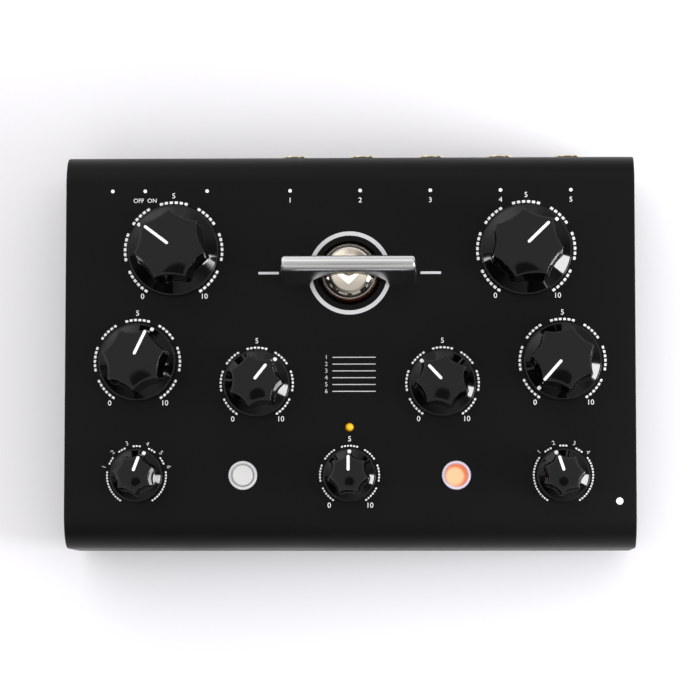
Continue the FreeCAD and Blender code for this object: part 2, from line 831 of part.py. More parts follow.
def pin_centres():
    """Nine of ten even places on the pin circle; the gap faces the front."""
    centres = []
    for index in range(1, pin_count + 1):
        angle = math.radians(360 * index / pin_places - 90)
        centres.append((pin_circle_radius * math.cos(angle), valve_y + pin_circle_radius * math.sin(angle)))
    return centres


def valve_pin(x, y):
    """A base pin that goes on inside the glass as a support up to the lower mica."""
    return post(x, y, glass_seat - pin_length, glass_seat + lower_mica, pin_radius)


def valve_mica(low):
    return post(0, valve_y, glass_seat + low, glass_seat + low + mica_thickness, mica_radius)


def valve_anode(side):
    """A folded anode sheet around one triode, between the mica discs."""
    x = side * anode_spacing / 2
    low = glass_seat + lower_mica + mica_thickness
    high = low + anode_height

    def place(a, b):
        return vector(a, b, low)

    run = vector(0, 0, high - low)
    prisms = []
    for wall in (0, anode_wall):
        across = anode_half_width - wall
        along = anode_half_depth - wall
        face = rounded_rectangle(x - across, x + across, valve_y - along, valve_y + along,
                                 [anode_corner - wall] * 4, place)
        prisms.append(face.extrude(run))
    return prisms[0].cut(prisms[1])


def valve_getter():
    """Getter ring on a wire that stands on the upper mica."""
    seat = glass_seat + lower_mica + 2 * mica_thickness + anode_height
    loop = Part.makeTorus(getter_radius, getter_wire, vector(0, valve_y, seat + getter_rise))
    wire = post(getter_radius, valve_y, seat, seat + getter_rise, getter_post)
    return joined([loop, wire])


def valve_socket():
    """Round ceramic socket on the main board, with a hole for each pin."""
    top = glass_seat - socket_gap
    body = post(0, valve_y, main_board_top, top, socket_radius)
    holes = [post(0, valve_y, main_board_top - past, top + past, socket_centre_hole)]
    for x, y in pin_centres():
        holes.append(post(x, y, glass_seat - pin_length - pin_gap, top + past, pin_radius + pin_gap))
    return body.cut(holes)


def valve_guard():
    """A bridge with a round crown and an arch below, which rises towards the front."""
    half_length = guard_length / 2
    half = guard_thickness / 2
    low = panel_top
    legs = block(-half_length, half_length, valve_y - half, valve_y + half, low, low + guard_wall)
    crown_start = vector(-half_length, valve_y, low + guard_wall)
    crown = Part.makeCylinder(half, guard_length, crown_start, vector(1, 0, 0))
    bar = joined([legs, crown])
    rims = [edge for edge in bar.Edges
            if edge.BoundBox.XLength < 0.001 and edge.BoundBox.ZMin > low + guard_wall - 0.001]
    bar = bar.makeFillet(guard_end_edge, rims)

    reach = guard_length

    def place(a, b):
        return vector(a, valve_y - reach, b)

    corners = [0, arch_corner, arch_corner, 0]
    across = arch_half_width
    arch = rounded_rectangle(-across, across, low - reach, low + arch_height, corners, place)
    opening = arch.extrude(vector(0, 2 * reach, 0))
    opening.rotate(vector(0, valve_y, low + arch_height), vector(1, 0, 0), -arch_slope)
    foot_room = block(-across, across, valve_y - half - past, valve_y + half + past,
                      low - past, low + arch_height - arch_corner)
    holes = [opening, foot_room]
    for side in (-1, 1):
        depth = guard_screw_grip + guard_tap_spare
        holes.append(post(side * guard_screw_x, valve_y, low - past, low + depth, screw_radius + thread_gap))
    return bar.cut(holes)


def jack_body(x):
    """A jack socket on the main board with its bushing through the rear wall."""
    mouth = half_depth + jack_bushing_reach
    end = mouth - jack_depth
    half = jack_body_width / 2
    body = block(x - half, x + half, jack_front, rear_inside, main_board_top,
                 main_board_top + jack_body_height)
    bushing = rod(x, jack_z, rear_inside, mouth, jack_bushing_radius)
    bore = rod(x, jack_z, end, mouth + past, jack_bore_radius)
    return joined([body, bushing]).cut([bore] + beside_bore(x, 0))


def beside_bore(x, inner):
    """Two upright plates beside a jack's bore, from an inner distance off its axis."""
    width, length, height = jack_contact_size
    outer = jack_bore_radius + jack_contact_gap + width
    start = half_depth + jack_bushing_reach - jack_depth + jack_contact_inset
    plates = []
    for side in (-1, 1):
        near = x + side * inner
        far = x + side * outer
        plates.append(block(min(near, far), max(near, far), start, start + length,
                            jack_z - height / 2, jack_z + height / 2))
    return plates


def jack_contacts(x):
    """Two contact springs in the pockets beside the bore."""
    return beside_bore(x, jack_bore_radius + jack_contact_gap)


def jack_nut(x):
    """Round dress nut with a chamfered mouth."""
    inside = jack_bushing_radius + thread_gap
    edge = jack_nut_reach - jack_nut_edge
    nut = turned([(inside, 0), (jack_nut_radius, 0), (jack_nut_radius, edge),
                  (inside + jack_nut_lip, jack_nut_reach), (inside, jack_nut_reach)])
    nut.rotate(vector(0, 0, 0), vector(1, 0, 0), -90)
    nut.translate(vector(x, half_depth, jack_z))
    return nut


def dc_socket():
    """Low-voltage inlet on the main board."""
    half = dc_width / 2
    body = block(dc_x - half, dc_x + half, rear_inside - dc_length, rear_inside, main_board_top,
                 main_board_top + dc_height)
    snout = rod(dc_x, dc_z, rear_inside, half_depth, dc_snout_radius)
    bore = rod(dc_x, dc_z, half_depth - dc_bore_depth, half_depth + past, dc_bore_radius)
    pin_hole = rod(dc_x, dc_z, rear_inside - dc_length - past, half_depth, dc_pin_radius + press_gap)
    return joined([body, snout]).cut([bore, pin_hole])


def dc_pin():
    """Centre pin of the inlet."""
    return rod(dc_x, dc_z, rear_inside - dc_length, half_depth - dc_pin_setback, dc_pin_radius)


def midi_centres():
    """The five contacts of the round socket lie on a half circle, open at the bottom."""
    centres = []
    for index in range(midi_contact_count):
        angle = math.radians(midi_contact_step * index)
        x = midi_x + midi_contact_circle * math.cos(angle)
        z = midi_z + midi_contact_circle * math.sin(angle)
        centres.append((x, z))
    return centres


def midi_socket():
    """Housing of the five-pin round socket on the main board, with its mouth through the rear wall."""
    half = midi_width / 2
    front = rear_inside - midi_length
    mouth = half_depth + midi_snout_reach
    body = block(midi_x - half, midi_x + half, front, rear_inside, main_board_top,
                 main_board_top + midi_height)
    snout = rod(midi_x, midi_z, rear_inside, mouth, midi_snout_radius)
    slot = rod(midi_x, midi_z, mouth - midi_slot_depth, mouth + past, midi_slot_outer)
    seat = rod(midi_x, midi_z, front - past, mouth, midi_slot_inner + press_gap)
    return joined([body, snout]).cut([slot, seat])


def midi_core():
    """The core that carries the contacts, pressed into the housing with a slot around its rear end."""
    front = rear_inside - midi_length
    mouth = half_depth + midi_snout_reach
    core = rod(midi_x, midi_z, front, mouth, midi_slot_inner)
    holes = [rod(x, z, front - past, mouth + past, midi_contact_radius + press_gap)
             for x, z in midi_centres()]
    return core.cut(holes)


def midi_contact(x, z):
    rear_face = half_depth + midi_snout_reach - midi_contact_setback
    return rod(x, z, rear_inside - midi_length - midi_tail, rear_face, midi_contact_radius)


def power_switch_case():
    """Slide switch behind the rear wall, with room for the whole travel of the slider's collar."""
    half = power_case_width / 2
    case = block(power_x - half, power_x + half, rear_inside - power_case_length, rear_inside, main_board_top,
                 main_board_top + power_case_height)
    rear = rear_inside - power_case_wall
    across = (slider_collar_width + power_travel) / 2 + slider_gap
    upward = slider_collar_height / 2 + slider_gap
    room = block(power_x - across, power_x + across, rear - slider_collar_length - 2 * slider_gap, rear,
                 power_z - upward, power_z + upward)
    return case.cut([room, slider_room(rear - past, rear_inside + past)])


def power_slider():
    """The sliding tongue in its on position, with the collar that keeps it in the case."""
    half = slider_width / 2
    half_height = slider_height / 2
    rear = rear_inside - power_case_wall - slider_gap
    tongue = block(slider_x - half, slider_x + half, rear - slider_collar_length, half_depth + slider_reach,
                   power_z - half_height, power_z + half_height)
    across = slider_collar_width / 2
    upward = slider_collar_height / 2
    collar = block(slider_x - across, slider_x + across, rear - slider_collar_length, rear,
                   power_z - upward, power_z + upward)
    return joined([tongue, collar])


def ribbon(spare):
    """The ribbon out of one header, up, and into the other, made thicker and wider by a spare width."""
    low = main_board_top + ribbon_height
    high = control_board_under - ribbon_height
    half = ribbon_thickness / 2
    front = header_y - header_width / 2 - ribbon_run
    rear = header_y + header_width / 2 - ribbon_tail
    reach = ribbon_width / 2 + spare
    bends = [ribbon_bend, ribbon_bend, 0, 0]
    outer = across_case(front - half - spare, rear, low - half - spare, high + half + spare,
                        [bend + half if bend else 0 for bend in bends], reach)
    inner = across_case(front + half + spare, rear + past, low + half + spare, high - half - spare,
                        [bend - half if bend else 0 for bend in bends], reach + past)
    return outer.cut(inner)


def board_header(low, slot):
    """A box header with the slot that grips the ribbon."""
    half_length = header_length / 2
    half = header_width / 2
    body = block(-half_length, half_length, header_y - half, header_y + half, low, low + header_height)
    return body.cut(slot)


def capacitor(x, y):
    """An electrolytic can with a rounded rim."""
    can = post(x, y, main_board_top, main_board_top + can_height, can_radius)
    upper = [edge for edge in can.Edges if edge.BoundBox.ZMin > main_board_top + can_height - 0.001]
    return can.makeFillet(can_edge, upper)


def chip(x, y, width, depth):
    return block(x - width / 2, x + width / 2, y - depth / 2, y + depth / 2, main_board_top,
                 main_board_top + chip_height)


os.makedirs("parts", exist_ok=True)

# Case and what closes it
save("top_cover", [top_cover()])
save("base_tray", [base_tray()])
save("clinch_nuts", [clinch_nut(x, y) for x, y in foot_places()])
save("case_screws", [cap_screw(x, y, foot_recess_top, case_screw_length, 1) for x, y in foot_places()])
save("rubber_feet", [rubber_foot(x, y) for x, y in foot_places()])

# Boards
save("board_standoffs", [standoff(x, y) for x, y in standoff_places])
save("board_screws", [cap_screw(x, y, main_board_top, board_thickness + board_screw_grip, -1)
                      for x, y in standoff_places])
save("main_board", [main_board()])
save("control_board", [control_board()])

# Dials
save("pot_housings", [dial_housing(dial) for dial in dials if not dial["steps"]])
save("switch_housings", [dial_housing(dial) for dial in dials if dial["steps"]])
save("contact_wafers", [dial_wafer(dial) for dial in dials])
save("panel_washers", [panel_washer(dial) for dial in dials])
save("panel_nuts", [panel_nut(dial) for dial in dials])
for each_dial in dials:
    save("shaft_" + each_dial["name"], dial_shaft(each_dial))
    save("knob_" + each_dial["name"], [knob(each_dial)])

# Push buttons and the light
save("button_bezels", [button_bezel(-button_x), button_bezel(button_x)])
save("button_cases", [button_case(-button_x), button_case(button_x)])
save("cap_tap", [button_cap(-button_x)])
save("cap_bypass", [button_cap(button_x)])
save("status_led", [status_led()])
save("led_legs", [led_leg(-1), led_leg(1)])

# Valve, its socket and its guard
save("valve_envelope", [valve_envelope()])
save("valve_pins", [valve_pin(x, y) for x, y in pin_centres()])
save("valve_micas", [valve_mica(lower_mica), valve_mica(lower_mica + mica_thickness + anode_height)])
save("valve_anodes", [valve_anode(-1), valve_anode(1)])
save("valve_getter", [valve_getter()])
save("valve_socket", [valve_socket()])
save("valve_guard", [valve_guard()])
save("guard_screws", [cap_screw(side * guard_screw_x, valve_y, panel_under, sheet + guard_screw_grip, 1)
                      for side in (-1, 1)])

# Rear sockets and the power switch
save("jack_bodies", [jack_body(x) for x in jack_places])
save("jack_nuts", [jack_nut(x) for x in jack_places])
save("jack_contacts", [spring for x in jack_places for spring in jack_contacts(x)])
save("dc_socket", [dc_socket()])
save("dc_pin", [dc_pin()])
save("midi_socket", [midi_socket()])
save("midi_core", [midi_core()])
save("midi_contacts", [midi_contact(x, z) for x, z in midi_centres()])
save("power_switch_case", [power_switch_case()])
save("power_slider", [power_slider()])

# Board parts
lower_header = main_board_top
upper_header = control_board_under - header_height
ribbon_slot = ribbon(ribbon_slot_gap)
save("board_headers", [board_header(lower_header, ribbon_slot), board_header(upper_header, ribbon_slot)])
save("ribbon_cable", [ribbon(0)])
save("board_capacitors", [capacitor(x, y) for x, y in can_places])
save("board_chips", [chip(*place_and_size) for place_and_size in chips])
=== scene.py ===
import json
import math

import bpy
from bpy.props import FloatProperty, FloatVectorProperty, PointerProperty
from mathutils import Matrix, Vector


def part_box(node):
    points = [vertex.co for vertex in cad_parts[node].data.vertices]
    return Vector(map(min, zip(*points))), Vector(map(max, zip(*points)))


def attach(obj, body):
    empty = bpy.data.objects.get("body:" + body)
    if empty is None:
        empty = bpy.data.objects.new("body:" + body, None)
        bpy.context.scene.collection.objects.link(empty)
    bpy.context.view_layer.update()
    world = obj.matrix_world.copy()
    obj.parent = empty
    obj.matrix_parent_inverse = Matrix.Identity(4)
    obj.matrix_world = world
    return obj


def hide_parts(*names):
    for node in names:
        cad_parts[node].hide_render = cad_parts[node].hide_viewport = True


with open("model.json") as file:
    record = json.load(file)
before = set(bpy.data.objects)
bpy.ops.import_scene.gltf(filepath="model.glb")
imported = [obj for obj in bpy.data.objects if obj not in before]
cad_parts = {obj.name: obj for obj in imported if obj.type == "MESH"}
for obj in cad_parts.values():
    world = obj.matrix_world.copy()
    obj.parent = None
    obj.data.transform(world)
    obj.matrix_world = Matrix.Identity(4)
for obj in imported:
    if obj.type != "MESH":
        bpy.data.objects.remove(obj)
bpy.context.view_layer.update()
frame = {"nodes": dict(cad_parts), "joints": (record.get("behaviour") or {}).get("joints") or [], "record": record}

bl_info = {
    "name": "Valve delay unit",
    "version": (1, 0, 0),
    "blender": (4, 5, 0),
    "location": "3D View > Sidebar > Delay",
    "description": "Dresses the frame of a desktop delay unit with its knobs, valve, print and finishes",
    "category": "Add Mesh",
}

# Lengths below are written in millimetres and turned into metres with this factor
MM = 0.001
# Points closer than this are welded, in metres
WELD = 0.0000005
NODE_WELD = 0.000001

# Dials: the mould of each knob and the direction of its pointer, clockwise from the rear, in degrees
DIALS = {
    "delay_time": ("large", -53.0),
    "cutoff": ("large", 45.5),
    "feedback": ("medium", 25.0),
    "drive": ("medium", -138.5),
    "dry_wet": ("small", 38.0),
    "resonance": ("small", -43.0),
    "delay_mode": ("mini", 20.0),
    "in_level": ("mini", 0.0),
    "filter_mode": ("mini", -18.0),
}

# Knob moulds: radius of the ridges, depth of the flutes, pointer line and radius of the printed ring
MOULDS = {
    "large": {"ridge": 12.9, "sag": 0.9, "line": (0.3, 11.0), "scale": 17.6},
    "medium": {"ridge": 11.5, "sag": 1.1, "line": (1.4, 11.0), "scale": 15.4},
    "small": {"ridge": 9.6, "sag": 1.1, "line": (0.3, 7.2), "scale": 13.05},
    "mini": {"ridge": 7.4, "sag": 1.0, "line": (0.9, 6.5), "scale": 10.65},
}
FLUTES = 7
FLUTE_STEPS = 28
FLUTE_DRAFT = 2.5
RIDGE_SOFTNESS = 0.05
FOOT_SOFTNESS = 0.45
DOME_RISE = 1.0
KNOB_GAP = 0.8
SKIRT_EDGE = 1.8
SKIRT_LAND = 0.6
SKIRT_SLOPE = 34.0
NUT_RECESS = (6.2, 2.9)
BUSHING_RECESS = (3.85, 4.0)
SHAFT_BORE = (3.06, 13.8)
SET_SCREW_HEIGHT = 8.6
SET_SCREW_HOLE = 1.5
LINE_WIDTH = 1.05
LINE_DEPTH = 0.25
LINE_PROUD = 0.05
SKIRT_MARK = (1.7, 0.4)
SKIRT_MARK_WIDTH = 1.3

# Case
SHEET = 1.5
FRONT_BEND = 12.0
REAR_BEND = 10.5
LOWER_BEND = 2.5
FLANGE = 18.0
SIDE_EDGE = 0.45
VALVE_HOLE = 11.6
BUSHING_HOLE = 3.6
BEZEL_HOLE = 4.65
LIGHT_HOLE = 1.6
JACK_HOLE = 4.75
INLET_HOLE = 4.25
DIN_HOLE = 7.85
SLIDER_WINDOW = (4.15, 1.85)

# Valve, with heights above its seat, and its guard
GLASS = {"radius": 10.4, "corner": 6.0, "shoulder": 38.5, "crown": 45.7}
GLASS_WALL = 1.0
GLASS_FOOT = 2.0
GLASS_BASE = 3.0
GLASS_TIP = (1.7, 48.6, 0.8)
MIRROR_INSET = 0.92
MIRROR_EDGE = 39.0
FRINGE_EDGE = 33.0
ARCH_RADIUS = 14.3
CROWN_RADIUS = 3.0
GUARD_END = 1.25

# Buttons and light
BEZEL = {"bore": 3.87, "sleeve": 4.6, "rim": 5.2, "reach": 1.0, "tail": 2.7}
CAP = {"radius": 3.78, "reach": 1.9, "edge": 0.55, "flange": 4.4}
LIGHT_RADIUS = 1.5

# Jack nuts: bore, outside, reach and where the chamfer starts, and the metal rim at their mouth
NUT = (4.65, 5.8, 3.45, 2.4)
RIM = (4.62, 5.25, 4.0, 2.9)

# Print on the panel: directions and numbers of the dashes in each group, in degrees
PRINT_THICKNESS = 0.03
DIAL_GROUPS = ((0.0, 6), (43.4, 5), (-43.4, 5), (85.4, 6), (-85.4, 6), (131.0, 6), (-131.0, 6))
DASH_PITCH = 5.9
SWITCH_RINGS = {
    "delay_mode": {"middles": (-60, -30, 0, 31, 60), "from": 83.8, "dashes": 12,
                   "numbers": (-75, -45.6, -16.8, 19, 47, 75)},
    "filter_mode": {"middles": (-31, 0, 32), "from": 55.0, "dashes": 17,
                    "numbers": (-46, -17, 19, 47)},
}
SWITCH_RING_END = 146.5
DASH_LENGTH_SHARE = 0.66
DASH_WIDTH_SHARE = 0.52
SCALE_ENDS = 146.0
RING_PRINT = (15.1, 13.6)
SIDE_TICK = (25.6, 33.0, 0.9)

# Text: height of the characters, and room between a ring of dashes and its numbers
DIAL_TEXT = (2.7, 2.4)
SWITCH_TEXT = (2.2, 1.4)
JACK_TEXT = 2.6
SMALL_TEXT = 2.2

# Marks near the edges: radius of a dot, and rooms from the case's outside
REAR_DOT = 0.65
REAR_DOT_ROOM = 13.35
REAR_NUMBER_ROOM = 16.9
CORNER_DOT = {"radius": 1.3, "side": 6.1, "front": 16.65}

# List of places: room from the light to its first line, pitch, place of the numbers, and ends and half width
# of a line
LIST_LINES = 6
LIST_RISE = 25.2
LIST_PITCH = 2.46
LIST_NUMBER = -8.4
LIST_BAR = (-6.2, 9.4, 0.16)

# Camera, in metres and degrees, and its focal length in pixels of the picture
CAMERA_PLACE = (0.0361, -0.1012, 1.2227)
CAMERA_TURN = (4.859, 1.765, 0.016)
FOCAL_PIXELS = 3244.9
PICTURE_WIDTH = 700
SENSOR_WIDTH = 36

# Lamps: place, target and size in metres, radiance, colour, and whether glossy surfaces mirror them
LAMPS = {
    "strip": ((0.785, -0.165, 0.36), (0, 0, 0.06), (0.32, 0.28), 19.0, (1.0, 1.0, 1.0), True),
    "fill": ((-0.1, 0.1, 1.7), (0, 0, 0), (1.8, 1.8), 1.5, (1.0, 0.995, 1.0), False),
    "small": ((-0.70, -0.15, 0.175), (0, 0, 0.06), (0.10, 0.10), 5.0, (1.0, 0.99, 0.97), True),
}

# Studio: level of its walls in directions clockwise from the rear, in degrees
WALLS = ((0, 0.62), (10, 0.66), (26, 0.36), (60, 0.32), (80, 0.12), (96, 0.10), (126, 0.15), (146, 0.38),
         (170, 0.34), (190, 0.20), (214, 0.12), (228, 0.02), (250, 0.02), (262, 0.08), (274, 0.42),
         (292, 0.60), (308, 0.95), (322, 1.25), (342, 1.15))
# Heights, as the upward part of a direction, over which the band above the floor and the walls give way
BAND_EDGE = (0.03, 0.07)
CEILING_EDGE = (0.50, 0.62)
BAND_COLOUR = (0.80, 0.80, 0.83)
# The ceiling's colour at the front and at the rear, and the span between them
CEILING_COLOURS = ((0.62, 0.61, 0.60), (1.15, 1.13, 1.11))
CEILING_SPAN = (-0.7, 0.3)
# Dim patches overhead: lean to the rear, outer and inner edge in degrees, and level
PATCHES = ((4.0, 34.0, 24.0, 0.56), (-10.0, 8.0, 6.0, 0.10))


class DelayUnitSettings(bpy.types.PropertyGroup):
    """Sizes and colours that a user of the model would change."""

    mark_colour: FloatVectorProperty(
        name="Pointer lines", description="Colour of the lines set into the knobs",
        subtype="COLOR", size=3, min=0, max=1, default=(0.90, 0.90, 0.90))
    print_colour: FloatVectorProperty(
        name="Print", description="Colour of the dashes, dots and numbers on the panel",
        subtype="COLOR", size=3, min=0, max=1, default=(0.95, 0.95, 0.96))
    coat_colour: FloatVectorProperty(
        name="Case coat", description="Colour of the powder coat on the case",
        subtype="COLOR", size=3, min=0, max=1, default=(0.0028, 0.0028, 0.0029))
    knob_colour: FloatVectorProperty(
        name="Knobs", description="Colour of the knobs' plastic",
        subtype="COLOR", size=3, min=0, max=1, default=(0.0012, 0.0012, 0.0012))
    lamp_colour: FloatVectorProperty(
        name="Lit button", description="Colour of the light in the lit push button",
        subtype="COLOR", size=3, min=0, max=1, default=(0.92, 0.20, 0.06))
    knob_rounding: FloatProperty(
        name="Knob rounding", description="Radius of the rim around a knob's top",
        subtype="DISTANCE", unit="LENGTH", min=0.00005, max=0.001, default=0.00020)


def settings():
    return bpy.context.scene.delay_unit


# Modelling helpers

def start_clean():
    """Leave edit mode with nothing selected."""
    if bpy.context.object and bpy.context.object.mode != "OBJECT":
        bpy.ops.object.mode_set(mode="OBJECT")
    bpy.ops.object.select_all(action="DESELECT")


def pick(*objects):
    """Select these objects and no others; the first one becomes active."""
    start_clean()
    for obj in objects:
        obj.select_set(True)
    bpy.context.view_layer.objects.active = objects[0]


def arc(centre, radius, start, end, steps):
    """Points of an arc, from one angle to another in degrees."""
    points = []
    for index in range(steps + 1):
        angle = math.radians(start + (end - start) * index / steps)
        points.append((centre[0] + radius * math.cos(angle), centre[1] + radius * math.sin(angle)))
    return points


def path(name, points):
    """A line of edges through points in millimetres, left selected in edit mode."""
    start_clean()
    bpy.ops.mesh.primitive_plane_add(size=MM, location=(0, 0, 0))
    obj = bpy.context.object
    obj.name = name
    bpy.ops.object.mode_set(mode="EDIT")
    bpy.ops.mesh.merge(type="CENTER")
    here = Vector(points[0]) * MM
    bpy.ops.transform.translate(value=here)
    for point in points[1:]:
        there = Vector(point) * MM
        bpy.ops.mesh.extrude_region_move(TRANSFORM_OT_translate={"value": there - here})
        here = there
    bpy.ops.mesh.select_all(action="SELECT")
    return obj


def turned(name, outline, steps):
    """Turn an outline of (radius, height) points in millimetres into a solid about the Z axis."""
    obj = path(name, [(radius, 0, height) for radius, height in outline])
    bpy.ops.mesh.spin(steps=steps, angle=2 * math.pi, center=(0, 0, 0), axis=(0, 0, 1))
    bpy.ops.mesh.select_all(action="SELECT")
    bpy.ops.mesh.remove_doubles(threshold=WELD)
    bpy.ops.mesh.normals_make_consistent(inside=False)
    bpy.ops.object.mode_set(mode="OBJECT")
    return obj


def block(name, low, high):
    """A block between two corners in millimetres, ready to be shaped."""
    start_clean()
    bpy.ops.mesh.primitive_cube_add(size=1, location=(0, 0, 0))
    obj = bpy.context.object
    obj.name = name
    size = [(b - a) * MM for a, b in zip(low, high)]
    centre = [(a + b) / 2 * MM for a, b in zip(low, high)]
    obj.scale = size
    obj.location = centre
    bpy.ops.object.transform_apply(location=True, rotation=True, scale=True)
    return obj


def choose_nothing(obj, kind):
    """Leave nothing of a mesh selected, and set the kind of selection for the next edit."""
    pick(obj)
    bpy.ops.object.mode_set(mode="EDIT")
    bpy.ops.mesh.select_mode(type=kind)
    bpy.ops.mesh.select_all(action="DESELECT")
    bpy.ops.object.mode_set(mode="OBJECT")


def round_edges(obj, width, segments, chosen):
    """Bevel the edges that a test chooses from their two end points."""
    choose_nothing(obj, "EDGE")
    for edge in obj.data.edges:
        a = obj.data.vertices[edge.vertices[0]].co
        b = obj.data.vertices[edge.vertices[1]].co
        edge.select = chosen(a, b)
    bpy.ops.object.mode_set(mode="EDIT")
    bpy.ops.mesh.bevel(offset=width * MM, segments=segments, affect="EDGES", clamp_overlap=True)
    bpy.ops.mesh.select_mode(type="VERT")
    bpy.ops.object.mode_set(mode="OBJECT")


def apply_modifier(obj, kind, **values):
    """Add a modifier with its values and apply it."""
    pick(obj)
    modifier = obj.modifiers.new(kind.lower(), kind)
    for key, value in values.items():
        setattr(modifier, key, value)
    bpy.ops.object.modifier_apply(modifier=modifier.name)


def prism(name, outline, run):
    """A solid whose section is a closed outline of points in millimetres, drawn out along a run."""
    obj = path(name, outline)
    bpy.ops.mesh.edge_face_add()
    bpy.ops.mesh.extrude_region_move(TRANSFORM_OT_translate={"value": Vector(run) * MM})
    bpy.ops.mesh.select_all(action="SELECT")
    bpy.ops.mesh.normals_make_consistent(inside=False)
    bpy.ops.object.mode_set(mode="OBJECT")
    return obj


def drill(radius, place, depth, rearward=False, sides=64):
    """A round cutter in millimetres around a place in metres, upright or towards the rear."""
    start_clean()
    turn = (math.radians(90), 0, 0) if rearward else (0, 0, 0)
    bpy.ops.mesh.primitive_cylinder_add(vertices=sides, radius=radius * MM, depth=depth * MM,
                                        location=place, rotation=turn)
    obj = bpy.context.object
    bpy.ops.object.transform_apply(location=True, rotation=True, scale=True)
    return obj


def remove_faces(obj, chosen):
    """Delete the faces that a test chooses from their middle and normal."""
    choose_nothing(obj, "FACE")
    for face in obj.data.polygons:
        face.select = chosen(face.center, face.normal)
    bpy.ops.object.mode_set(mode="EDIT")
    bpy.ops.mesh.delete(type="FACE")
    bpy.ops.mesh.select_mode(type="VERT")
    bpy.ops.object.mode_set(mode="OBJECT")


def edit_all(obj, operation, **values):
    """Run one mesh operation on all of a piece."""
    pick(obj)
    bpy.ops.object.mode_set(mode="EDIT")
    bpy.ops.mesh.select_all(action="SELECT")
    operation(**values)
    bpy.ops.object.mode_set(mode="OBJECT")


def cut_at(obj, place):
    """Run a line of edges around a piece at a place along Y, in millimetres."""
    edit_all(obj, bpy.ops.mesh.bisect, plane_co=(0, place * MM, 0), plane_no=(0, 1, 0))


def cut(obj, tool):
    """Cut one solid out of another and throw the tool away."""
    apply_modifier(obj, "BOOLEAN", operation="DIFFERENCE", solver="EXACT", object=tool)
    bpy.data.objects.remove(tool)


def smooth(obj, angle=32):
    """Smooth shading, with creases where faces turn by more than an angle."""
    pick(obj)
    bpy.ops.object.shade_smooth_by_angle(angle=math.radians(angle))


def settle(obj, place, turn=0, rearward=False):
    """Move a piece's mesh to its place, turned clockwise or laid with its axis to the rear."""
    pick(obj)
    obj.location = place
    obj.rotation_euler = (math.radians(-90) if rearward else 0, 0, -math.radians(turn))
    bpy.ops.object.transform_apply(location=True, rotation=True, scale=True)


def copy_of(obj, name):
    """A copy of a piece with its own mesh."""
    double = obj.copy()
    double.data = obj.data.copy()
    double.name = name
    bpy.context.scene.collection.objects.link(double)
    return double


def joined(name, pieces):
    """Several pieces as one object."""
    pick(*pieces)
    bpy.ops.object.join()
    whole = bpy.context.object
    whole.name = name
    return whole


def finish_piece(obj, name, body, material, replaced=()):
    """Name a piece, give it a material or a named finish, and tie it to its body and its nodes."""
    obj.name = name
    obj.data.name = name
    obj.data.materials.clear()
    obj.data.materials.append(finish(material) if isinstance(material, str) else material)
    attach(obj, body)
    if replaced:
        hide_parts(*replaced)
    return obj


def refined(node, name, material, angle=30):
    """A merged and smoothed copy of a node, which stands for it."""
    obj = copy_of(frame["nodes"][node], name)
    edit_all(obj, bpy.ops.mesh.remove_doubles, threshold=NODE_WELD)
    smooth(obj, angle)
    body = "power_tongue" if node == "power_slider" else "case"
    return finish_piece(obj, name, body, material, [node])


def centre_of(node):
    """Middle of a node's box."""
    low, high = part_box(node)
    return (low + high) / 2


def panel_top():
    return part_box("top_cover")[1].z


def dial_place(name):
    """Point on the panel under the middle of a dial."""
    for joint in frame["joints"]:
        if joint["name"] == "turn_" + name:
            return Vector((joint["pos_m"][0], joint["pos_m"][1], panel_top()))
    raise RuntimeError("no joint turns " + name)


# Effects that several finishes share

def new_group(name, inputs, outputs):
    """An empty node group with float inputs, and outputs of a given kind."""
    tree = bpy.data.node_groups.new(name, "ShaderNodeTree")
    for label, value in inputs:
        socket = tree.interface.new_socket(label, in_out="INPUT", socket_type="NodeSocketFloat")
        socket.default_value = value
    for label, kind in outputs:
        tree.interface.new_socket(label, in_out="OUTPUT", socket_type=kind)
    entry = tree.nodes.new("NodeGroupInput")
    leave = tree.nodes.new("NodeGroupOutput")
    return tree, entry, leave


def feed(tree, socket, value):
    """Link a socket to another one, or set it to a number or a colour."""
    if isinstance(value, bpy.types.NodeSocket):
        tree.links.new(value, socket)
    else:
        socket.default_value = (*value, 1.0) if socket.type == "RGBA" else value


def math_node(tree, operation, first, second=None, clamp=False):
    """A Math node whose inputs are sockets or numbers; gives its output socket."""
    node = tree.nodes.new("ShaderNodeMath")
    node.operation = operation
    node.use_clamp = clamp
    for index, value in enumerate((first, second)):
        if value is not None:
            feed(tree, node.inputs[index], value)
    return node.outputs[0]


def stepped(tree, value, low, high, out_low=0.0, out_high=1.0):
    """A smooth Map Range from one span to another."""
    node = tree.nodes.new("ShaderNodeMapRange")
    node.interpolation_type = "SMOOTHSTEP"
    for label, number in (("Value", value), ("From Min", low), ("From Max", high),
                          ("To Min", out_low), ("To Max", out_high)):
        feed(tree, node.inputs[label], number)
    return node.outputs["Result"]


def noise(tree, scale, detail, roughness=0.5, stretch=None):
    """Noise on Object coordinates, stretched along the axes if asked; gives its value socket."""
    place = tree.nodes.new("ShaderNodeTexCoord").outputs["Object"]
    if stretch:
        mapping = tree.nodes.new("ShaderNodeMapping")
        mapping.inputs["Scale"].default_value = stretch
        tree.links.new(place, mapping.inputs["Vector"])
        place = mapping.outputs["Vector"]
    node = tree.nodes.new("ShaderNodeTexNoise")
    tree.links.new(place, node.inputs["Vector"])
    feed(tree, node.inputs["Scale"], scale)
    node.inputs["Detail"].default_value = detail
    node.inputs["Roughness"].default_value = roughness
    return node.outputs["Fac"]


FLOAT_OUT = "NodeSocketFloat"


